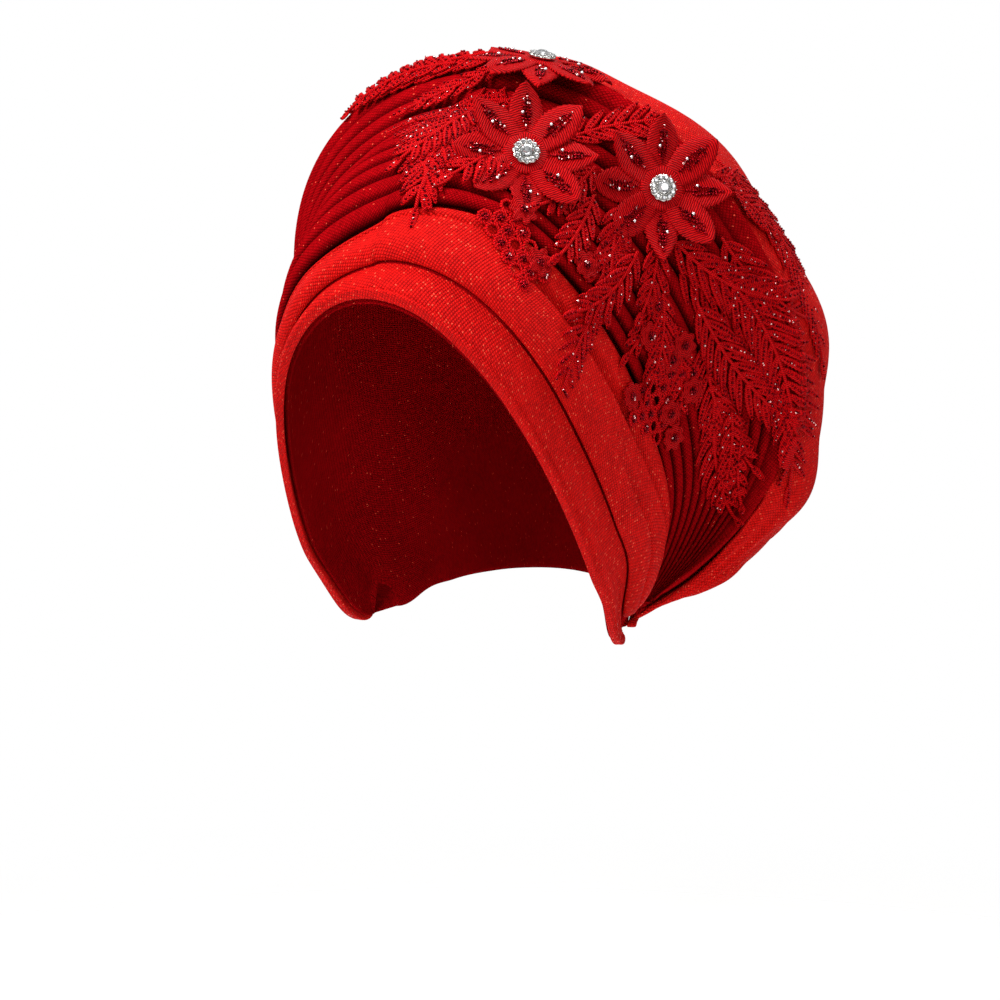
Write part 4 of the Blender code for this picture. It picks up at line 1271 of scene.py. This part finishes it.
def petal(threads, beads, glints, tree, seat, k, cup, sizes):
    """One satin-stitched petal: a bent sheet with zigzag edges and a streak of glitter beads."""
    spot, ahead, across, out = turned_patch(seat, 360 * (k + 0.5) / PETALS)
    inner, outer = 0.06 * FLOWER_ACROSS, 0.5 * FLOWER_ACROSS * (1 + 0.05 * even(k * 1.9, cup * 50, 2.0))
    width = sizes.petal_width * (1 + 0.10 * even(k * 2.7, cup * 70, 4.0))
    outline = PETAL_POINTED if k % 3 == 0 else PETAL_ROUND
    lift = -PETAL_THICK - GAP + (0.55 * MM if k % 2 else -0.25 * MM)
    curl = 0.0030 * even(k * 3.3, cup * 30, 6.0)
    droop = 0.0030 * even(k * 4.7, cup * 60, 2.6)
    steps = 27
    cross = [-1 + 2 * j / 8 for j in range(9)]

    def surface(t, side, raised):
        """A point of the petal, from its root to its tip and from edge to edge."""
        reach_out = inner + (outer - inner) * t
        half = width / 2 * curve_value(outline, t)
        y = half * side
        height = lift + cup * (reach_out / (FLOWER_ACROSS / 2)) ** 2
        height += 0.0008 * t * (1 - 1.5 * side * side) + curl * t * side + droop * t**3
        height -= 0.0005 * exp(-((side / 0.25) ** 2)) * min(1, 4 * t)
        place = spot + ahead * reach_out + across * y + out * height
        floor_spot, normal, _, _ = tree.find_nearest(place)
        if normal.dot(out) < 0:
            normal = -normal
        least = (0.6 * MM + sizes.lace_lift) * min(1, 2 * t)
        if (place - floor_spot).dot(normal) < least:
            place = floor_spot + normal * least
        return place + out * raised

    rings = []
    for i in range(steps + 1):
        t = i / steps
        zigzag = 1 + (0.05 if i % 2 else -0.05) * min(1, 3 * t)
        top = [surface(t, side * zigzag, PETAL_THICK * 0.4) for side in cross]
        under = [surface(t, side * zigzag, -PETAL_THICK * 0.1) for side in cross]
        rings.append(top + under[::-1])
    along = [(outer - inner) * i / steps / MM for i in range(steps + 1)]
    marks = []
    for i in range(steps + 1):
        half = width / 2 * curve_value(outline, i / steps) / MM
        row = [side * half for side in cross]
        marks.append(row + row[::-1] + [row[0]])
    threads.loft(rings, along, marks)

    size = sizes.bead_size / 2
    rows = int((outer - inner) * 0.60 / (1.7 * size))
    for i in range(rows):
        t = 0.28 + 0.60 * i / rows
        wide = sin(pi * (i + 0.8) / (rows + 0.6))
        for lane in (-1, 0, 1):
            if abs(lane) > 0 and wide < 0.55:
                continue
            side = lane * 0.21 + 0.14 * even(i * 2.1, k * 1.1, lane)
            place = surface(t + 0.01 * even(i, k, lane * 3), side, PETAL_THICK * 0.5 + size * 0.35)
            beads.bead(place, size * (0.9 + 0.5 * even(i * 3.1, k * 1.7, lane * 2)))
    spark = 0.42 + 0.36 * abs(even(k * 5.1, cup * 90, 1.0))
    glints.bead(surface(spark, 0.25, PETAL_THICK + size * 0.6), size * 1.15)


def flower_heart(threads, seat, cup):
    """The stitched middle of a flower under its stone: a low dome of stitches that run outwards."""
    spot, ahead, across, out = seat
    steps = 48
    rings = []
    for radius, height in HEART_RINGS:
        ring = []
        for k in range(steps):
            turn = 2 * pi * k / steps
            wave = 1 + (0.05 if k % 2 and radius > 5 else 0)
            lift = height * MM + cup * (radius * MM / (FLOWER_ACROSS / 2)) ** 2
            ring.append(
                spot + (ahead * cos(turn) + across * sin(turn)) * radius * wave * MM + out * lift
            )
        rings.append(ring)
    marks = [[k * 1.05 for k in range(steps + 1)] for _ in rings]
    first = len(threads.faces)
    threads.loft(rings, [0] * len(rings), marks)
    for i in range(first, len(threads.faces)):
        threads.marks[i] = tuple((v, u) for u, v in threads.marks[i])


def cut_stone(mesher, patch, x, y, low, radius, tall):
    """A round brilliant: a table, eight kites, a girdle and a short pavilion."""
    spot, ahead, across, out = patch
    rings = []
    for share, up, turn in STONE_RINGS:
        ring = []
        for k in range(8):
            angle = 2 * pi * (k + turn) / 8
            ring.append(
                spot
                + ahead * (x + radius * share * cos(angle))
                + across * (y + radius * share * sin(angle))
                + out * (low + tall * up)
            )
        rings.append(ring)
    mesher.loft(rings)


def set_stone(seat, metal, stones, glass):
    """The silver setting with its scalloped rim, claws and small stones, and the middle stone."""
    spot, ahead, across, out = seat
    radius = SETTING_ACROSS / 2
    rings = []
    for share, up in SETTING_RINGS:
        ring = []
        for k in range(SMALL_STONES * 6):
            turn = 2 * pi * k / (SMALL_STONES * 6)
            wave = 1 + (0.045 * cos(SMALL_STONES * turn) if share > 0.7 else 0)
            ring.append(
                spot
                + (ahead * cos(turn) + across * sin(turn)) * radius * share * wave
                + out * SETTING_DEEP * up
            )
        rings.append(ring)
    metal.loft(rings)
    for k in range(SMALL_STONES):
        turn = 2 * pi * k / SMALL_STONES
        x, y = radius * 0.77 * cos(turn), radius * 0.77 * sin(turn)
        cut_stone(stones, seat, x, y, SETTING_DEEP * 0.62, radius * 0.185, 0.75 * MM)
        for away, share in ((0.5, 0.98), (0.5, 0.58)):
            angle = 2 * pi * (k + away) / SMALL_STONES
            claw = spot + (ahead * cos(angle) + across * sin(angle)) * radius * share
            metal.bead(claw + out * SETTING_DEEP * 0.80, 0.34 * MM)
    cut_stone(glass, seat, 0, 0, SETTING_DEEP * 0.42, CRYSTAL_ACROSS / 2, 2.2 * MM)


# What the sidebar offers

class GeleCloth(bpy.types.PropertyGroup):
    """The head-tie cloth."""

    bright: bpy.props.FloatVectorProperty(
        name="Cloth", description="Colour of the cloth's raised yarns",
        subtype="COLOR", size=4, min=0, max=1, default=linear("#F41410"),
    )
    # Painted shade: the colour painted into the pits between the yarns
    shade: bpy.props.FloatVectorProperty(
        name="Pits", description="Colour between the yarns",
        subtype="COLOR", size=4, min=0, max=1, default=linear("#960609"),
    )
    # Partly painted highlight: the metal thread's colour, put bright on the yarn tops as its glints
    fleck_glint: bpy.props.FloatVectorProperty(
        name="Fleck", description="Colour of the metal thread that glints in the weave",
        subtype="COLOR", size=4, min=0, max=1, default=linear("#FF5A40"),
    )
    # Painted shade: the pleats and the cap get this darker copy of the cloth because they lie in shade
    deep: bpy.props.FloatVectorProperty(
        name="Pleat cloth", description="Colour of the pleats' raised yarns",
        subtype="COLOR", size=4, min=0, max=1, default=linear("#B80810"),
    )
    shaded_pleat_pits: bpy.props.FloatVectorProperty(
        name="Pleat pits", description="Colour between the pleats' yarns",
        subtype="COLOR", size=4, min=0, max=1, default=linear("#6E0307"),
    )
    weave_pitch: bpy.props.FloatProperty(
        name="Weave pitch", description="Distance between yarns, drawn coarse",
        unit="LENGTH", precision=5, min=0.0004, max=0.003, default=0.00125,
    )
    fleck_share: bpy.props.FloatProperty(
        name="Fleck share", description="Share of yarn crossings that glint",
        subtype="FACTOR", min=0, max=1, default=0.07,
    )


class GeleTrim(bpy.types.PropertyGroup):
    """The lace, flowers and beads."""

    thread: bpy.props.FloatVectorProperty(
        name="Thread", description="Colour of the flowers' embroidery thread",
        subtype="COLOR", size=4, min=0, max=1, default=linear("#CC060C"),
    )
    thread_shade: bpy.props.FloatVectorProperty(
        name="Thread shade", description="Colour between the flowers' stitches",
        subtype="COLOR", size=4, min=0, max=1, default=linear("#4A0208"),
    )
    lace: bpy.props.FloatVectorProperty(
        name="Lace thread", description="Colour of the thread of the lace leaves and nets",
        subtype="COLOR", size=4, min=0, max=1, default=linear("#E4060E"),
    )
    lace_shade: bpy.props.FloatVectorProperty(
        name="Lace shade", description="Colour between the lace's stitches",
        subtype="COLOR", size=4, min=0, max=1, default=linear("#6E020A"),
    )
    bead_dark: bpy.props.FloatVectorProperty(
        name="Dark beads", description="Colour of the darkest beads",
        subtype="COLOR", size=4, min=0, max=1, default=linear("#38040A"),
    )
    bead_bright: bpy.props.FloatVectorProperty(
        name="Bright beads", description="Colour of the brightest beads",
        subtype="COLOR", size=4, min=0, max=1, default=linear("#B0101E"),
    )
    # Painted glint: the pale colour of the few beads that stand in for flashes of light
    painted_sparkle: bpy.props.FloatVectorProperty(
        name="Sparkle", description="Colour of the beads that flash",
        subtype="COLOR", size=4, min=0, max=1, default=linear("#FFC8C4"),
    )
    stitch: bpy.props.FloatProperty(
        name="Stitch", description="Width of a satin stitch, drawn coarse",
        unit="LENGTH", precision=5, min=0.0003, max=0.002, default=0.001,
    )
    bead_size: bpy.props.FloatProperty(
        name="Bead", description="Diameter of a bead",
        unit="LENGTH", precision=5, min=0.0005, max=0.003, default=0.0015,
    )
    leaf_width: bpy.props.FloatProperty(
        name="Leaf width", description="Width of a lace leaf",
        unit="LENGTH", precision=5, min=0.001, max=0.01, default=0.0035,
    )
    petal_width: bpy.props.FloatProperty(
        name="Petal width", description="Width of a flower's petal",
        unit="LENGTH", precision=5, min=0.006, max=0.03, default=0.0152,
    )
    lace_lift: bpy.props.FloatProperty(
        name="Lace lift", description="Clearance of the lace over the cloth",
        unit="LENGTH", precision=5, min=0, max=0.003, default=0.0003,
    )


class GeleStage(bpy.types.PropertyGroup):
    """The paper and the light."""

    paper: bpy.props.FloatVectorProperty(
        name="Paper", description="Colour of the background paper",
        subtype="COLOR", size=4, min=0, max=1, default=linear("#FBFAF9"),
    )
    key_power: bpy.props.FloatProperty(
        name="Key light", description="Power of the main light", unit="POWER", min=0, default=42.0
    )


def cloth_material(deep=False):
    """The head-tie cloth, made once: straight on the bands, and on the bias in the pleats and the cap, as a
    darker copy with painted shade, since they lie in shade.
    """
    name = "woven_cloth_on_the_bias" if deep else "woven_head_tie_cloth"
    if name in bpy.data.materials:
        return bpy.data.materials[name]
    cloth = bpy.context.scene.gele_cloth
    pitch_mm = cloth.weave_pitch / MM
    if deep:
        # Painted shade: the darker copy of the cloth for the shaded pleats and cap
        colours = (cloth.deep, cloth.shaded_pleat_pits, cloth.fleck_glint)
        # The pleats and the cap get fewer painted glints, since they lie in shade
        share = cloth.fleck_share * SHADED_PLEAT_FLECKS
        return woven_cloth(name, colours, pitch_mm, BIAS_TURN, share, 0.65, paint_crease_shade=True, shine=0.0)
    colours = (cloth.bright, cloth.shade, cloth.fleck_glint)
    return woven_cloth(name, colours, pitch_mm, BAND_TURN, cloth.fleck_share, 0.65)


def trim_materials():
    """Thread, lace cord, beads and sequins, made once for all the lace and flowers."""
    names = ("rayon_satin_stitch", "rayon_guipure_cord", "foiled_glass_beads", "white_foil_sequins")
    if names[0] not in bpy.data.materials:
        trim = bpy.context.scene.gele_trim
        stitch_mm = trim.stitch / MM
        satin_thread(names[0], (trim.thread, trim.thread_shade), stitch_mm, 0.45)
        satin_thread(names[1], (trim.lace, trim.lace_shade), stitch_mm, 0.60)
        glitter_bead(names[2], trim.bead_dark, trim.bead_bright, trim.painted_sparkle)
        glitter_bead(names[3], linear("#E8D5D8"), linear("#FFFFFF"), linear("#FFFFFF"))
    return [bpy.data.materials[name] for name in names]


# Pieces

class OBJECT_OT_gele_cap(bpy.types.Operator):
    """The cap that the folds are laid over."""

    bl_idname = "object.gele_cap"
    bl_label = "Cap"

    def execute(self, context):
        # The cap takes the darker cloth, painted shade for the shadow it lies in
        piece = lay_cap(cloth_material(deep=True))
        return {"FINISHED"}


class OBJECT_OT_gele_bands(bpy.types.Operator):
    """The front band, rolled at the face, and the second band that laps over it."""

    bl_idname = "object.gele_bands"
    bl_label = "Front and second bands"

    def execute(self, context):
        base = CLOTH + SEAT
        front = (
            (0.0, base), (0.02, base + 0.8 * FOLD), (0.06, base + 1.25 * FOLD), (0.14, base + 1.1 * FOLD),
            (0.32, base + 1.05 * FOLD), (0.48, base + 0.95 * FOLD), (0.64, base + 0.68 * FOLD),
            (0.80, base + 0.32 * FOLD), (0.94, base + 0.08 * FOLD), (0.97, base), (0.64, base), (0.32, base),
        )
        second = (
            (0.03, base + 0.10 * FOLD), (-0.01, base + 0.45 * FOLD), (0.00, base + 0.95 * FOLD),
            (0.06, base + 1.42 * FOLD), (0.16, base + 1.72 * FOLD), (0.30, base + 1.72 * FOLD),
            (0.50, base + 1.45 * FOLD), (0.75, base + 1.2 * FOLD), (0.90, base + 1.1 * FOLD),
            (0.985, base + 0.7 * FOLD), (1.0, base + 0.1 * FOLD), (0.8, base), (0.5, base), (0.2, base),
        )
        cloth = cloth_material()
        for name, first, last, profile, relief in (
            ("front_band", "hem", "crease", front, front_relief),
            ("second_band", "crease", "foot", second, second_relief),
        ):
            piece = lay_band(name, first, last, profile, relief, cloth, 9)
        return {"FINISHED"}


class OBJECT_OT_gele_halo(bpy.types.Operator):
    """The corded pleats that stand up behind the bands, with their rolled rim."""

    bl_idname = "object.gele_halo"
    bl_label = "Pleated halo"

    def execute(self, context):
        # The pleats take the darker cloth, painted shade for the shadow they lie in
        piece = pleat_halo(cloth_material(deep=True))
        return {"FINISHED"}


class OBJECT_OT_gele_crown(bpy.types.Operator):
    """The hollow crown behind the rim, gathered in to the nape."""

    bl_idname = "object.gele_crown"
    bl_label = "Crown"

    def execute(self, context):
        piece = gather_crown(cloth_material())
        return {"FINISHED"}


class OBJECT_OT_gele_nape(bpy.types.Operator):
    """The rolled band under the crown at the nape."""

    bl_idname = "object.gele_nape"
    bl_label = "Nape band"

    def execute(self, context):
        piece = roll_nape(cloth_material())
        return {"FINISHED"}


class OBJECT_OT_gele_lace(bpy.types.Operator):
    """The plumes and sprays of lace leaves over the pleats, the rim and the crown."""

    bl_idname = "object.gele_lace"
    bl_label = "Lace plumes"

    def execute(self, context):
        sizes = context.scene.gele_trim
        _, cord, foil, _ = trim_materials()
        tree = bed_tree()
        for row in PLUMES:
            threads, beads = Mesher(), Mesher()
            sew_plume(tree, row, threads, beads, sizes)
            piece = threads.sew(row[0] + "_leaves", cord, [row[0]])
            beads.sew(row[0] + "_beads", foil)
        threads, beads = Mesher(), Mesher()
        for row in FRONDS:
            sew_plume(tree, row, threads, beads, sizes)
        threads.sew("lace_fronds", cord)
        beads.sew("lace_frond_beads", foil)
        return {"FINISHED"}


class OBJECT_OT_gele_nets(bpy.types.Operator):
    """The nets of thread rings on the second band, and the small flowers on them."""

    bl_idname = "object.gele_nets"
    bl_label = "Nets and florets"

    def execute(self, context):
        sizes = context.scene.gele_trim
        thread, cord, foil, _ = trim_materials()
        tree = bed_tree()
        for row in NETS:
            threads, beads = Mesher(), Mesher()
            sew_net(tree, row, threads, beads, sizes)
            threads.sew(row[0] + "_rings", cord, [row[0]])
            beads.sew(row[0] + "_beads", foil)
        for name, along, across in FLORETS:
            threads, beads = Mesher(), Mesher()
            sew_floret(tree, bed_frame(along, across), 1.0 * MM, threads, beads, sizes)
            threads.sew(name + "_petals", thread, [name])
            beads.sew(name + "_beads", foil)
        threads, beads = Mesher(), Mesher()
        for along, across in BLOOMS:
            sew_floret(tree, bed_frame(along, across), 1.2 * MM, threads, beads, sizes)
        threads.sew("small_blooms", thread)
        beads.sew("small_bloom_beads", foil)
        return {"FINISHED"}


class OBJECT_OT_gele_flowers(bpy.types.Operator):
    """The three large flowers of satin-stitched petals."""

    bl_idname = "object.gele_flowers"
    bl_label = "Flowers"

    def execute(self, context):
        sizes = context.scene.gele_trim
        thread, _, foil, white = trim_materials()
        tree = bed_tree()
        for name, along, across, turn, tilt, cup in FLOWERS:
            seat = flower_frame(name, along, across, turn, tilt)
            deep = cup * FLOWER_ACROSS
            threads, beads, glints = Mesher(), Mesher(), Mesher()
            for k in range(PETALS):
                petal(threads, beads, glints, tree, seat, k, deep, sizes)
            flower_heart(threads, seat, deep)
            threads.sew("flower_" + name + "_petals", thread, ["flower_" + name])
            beads.sew("flower_" + name + "_beads", foil)
            glints.sew("flower_" + name + "_sequins", white)
        return {"FINISHED"}


class OBJECT_OT_gele_stones(bpy.types.Operator):
    """The silver settings with their small stones round a middle one."""

    bl_idname = "object.gele_stones"
    bl_label = "Stones"

    def execute(self, context):
        silver = polished_alloy("rhodium_plated_alloy", linear("#9C968A"), linear("#F2F1EE"))
        foil = foiled_rhinestone("foiled_rhinestone", linear("#8E8F92"), linear("#FFFFFF"))
        for name, along, across, turn, tilt, _ in FLOWERS:
            seat = flower_frame(name, along, across, turn, tilt)
            metal, stones, glass = Mesher(), Mesher(), Mesher()
            set_stone(seat, metal, stones, glass)
            metal.sew("setting_" + name + "_claws", silver, ["setting_" + name])
            stones.sew("small_stones_" + name, foil, flat_shaded=True)
            middle = glass.sew("middle_stone_" + name, foil, ["crystal_" + name], flat_shaded=True)
        return {"FINISHED"}


class OBJECT_OT_gele_stage(bpy.types.Operator):
    """Pale paper floor, soft studio lights and the camera."""

    bl_idname = "object.gele_stage"
    bl_label = "Stage"

    def execute(self, context):
        stage = context.scene.gele_stage
        points, faces = [], []
        for away in PAPER_RINGS:
            for k in range(PAPER_SIDES):
                turn = 2 * pi * k / PAPER_SIDES
                ripple = PAPER_RIPPLE * even(away, turn, 0.5)
                points.append((away * cos(turn), away * sin(turn), FLOOR + ripple))
        for i in range(len(PAPER_RINGS) - 1):
            for k in range(PAPER_SIDES):
                low, n = i * PAPER_SIDES, (k + 1) % PAPER_SIDES
                high = low + PAPER_SIDES
                faces.append((low + k, low + n, high + n, high + k))
        faces.append(tuple(range(PAPER_SIDES)))
        mesh = bpy.data.meshes.new("paper_floor")
        mesh.from_pydata(points, [], faces)
        mesh.polygons.foreach_set("use_smooth", [True] * len(mesh.polygons))
        mesh.materials.append(matt_paper("seamless_paper", linear("#F1F0EE"), stage.paper))
        floor_piece = bpy.data.objects.new("paper_floor", mesh)
        context.scene.collection.objects.link(floor_piece)

        for name, spot, aim, size, share in LIGHTS:
            light = bpy.data.lights.new(name, "AREA")
            light.energy = stage.key_power * share
            light.shape = "DISK"
            light.size = size
            lamp = bpy.data.objects.new(name, light)
            lamp.location = spot
            lamp.rotation_euler = (Vector(aim) - Vector(spot)).to_track_quat("-Z", "Y").to_euler()
            context.scene.collection.objects.link(lamp)
        world = bpy.data.worlds.new("studio")
        world.use_nodes = True
        seen = add(world, "ShaderNodeLightPath")["Is Camera Ray"]
        strength = add(world, RANGE, {"Value": seen, "To Min": AIR_LIGHT, "To Max": 1.0})[0]
        background = world.node_tree.nodes["Background"]
        feed(world, background, {"Color": (1, 1, 1, 1), "Strength": strength})
        context.scene.world = world
        context.scene.view_settings.view_transform = "Standard"
        place_camera(context.scene)
        return {"FINISHED"}


def place_camera(scene):
    """The photograph's view: from 28 degrees to the wearer's left and 6 degrees above."""
    back = Vector(
        (
            sin(CAMERA_TURN) * cos(CAMERA_RISE),
            -cos(CAMERA_TURN) * cos(CAMERA_RISE),
            sin(CAMERA_RISE),
        )
    )
    right = Vector((cos(CAMERA_TURN), sin(CAMERA_TURN), 0))
    place = back * CAMERA_AWAY
    aim = right * ((FRAME_SIZE / 2 - HEAD_AT[0]) / PIXELS_PER_METRE)
    aim -= back.cross(right) * ((FRAME_SIZE / 2 - HEAD_AT[1]) / PIXELS_PER_METRE)
    look = (place - aim).normalized()
    side = Vector((0, 0, 1)).cross(look).normalized()
    up = look.cross(side)
    lens = bpy.data.cameras.new("camera")
    lens.sensor_width = SENSOR_MM
    lens.lens = PIXELS_PER_METRE * CAMERA_AWAY / FRAME_SIZE * lens.sensor_width
    camera = bpy.data.objects.new("camera", lens)
    turn = Matrix((side, up, look)).transposed().to_4x4()
    camera.matrix_world = Matrix.Translation(place) @ turn
    scene.collection.objects.link(camera)
    scene.camera = camera


PIECES = (
    OBJECT_OT_gele_cap,
    OBJECT_OT_gele_bands,
    OBJECT_OT_gele_halo,
    OBJECT_OT_gele_crown,
    OBJECT_OT_gele_nape,
    OBJECT_OT_gele_lace,
    OBJECT_OT_gele_nets,
    OBJECT_OT_gele_flowers,
    OBJECT_OT_gele_stones,
    OBJECT_OT_gele_stage,
)
GROUPS = (("gele_cloth", GeleCloth), ("gele_trim", GeleTrim), ("gele_stage", GeleStage))


class VIEW3D_PT_gele(bpy.types.Panel):
    """Lists the sizes and colours, and a button for each group of pieces."""

    bl_label = "Gele head tie"
    bl_space_type = "VIEW_3D"
    bl_region_type = "UI"
    bl_category = "Gele"

    def draw(self, context):
        for name, group in GROUPS:
            for field in group.__annotations__:
                self.layout.prop(getattr(context.scene, name), field)
        for piece in PIECES:
            self.layout.operator(piece.bl_idname)


def register():
    """Make the groups, operators and the panel known to Blender."""
    for name, group in GROUPS:
        bpy.utils.register_class(group)
        setattr(bpy.types.Scene, name, bpy.props.PointerProperty(type=group))
    for piece in PIECES:
        bpy.utils.register_class(piece)
    bpy.utils.register_class(VIEW3D_PT_gele)


def unregister():
    """Take them away again, last first."""
    bpy.utils.unregister_class(VIEW3D_PT_gele)
    for piece in reversed(PIECES):
        bpy.utils.unregister_class(piece)
    for name, group in reversed(GROUPS):
        delattr(bpy.types.Scene, name)
        bpy.utils.unregister_class(group)


def main():
    """Build every piece and the stage."""
    register()
    bpy.ops.object.gele_cap()
    bpy.ops.object.gele_bands()
    bpy.ops.object.gele_halo()
    bpy.ops.object.gele_crown()
    bpy.ops.object.gele_nape()
    bpy.ops.object.gele_lace()
    bpy.ops.object.gele_nets()
    bpy.ops.object.gele_flowers()
    bpy.ops.object.gele_stones()
    bpy.ops.object.gele_stage()


if __name__ == "__main__":
    main()
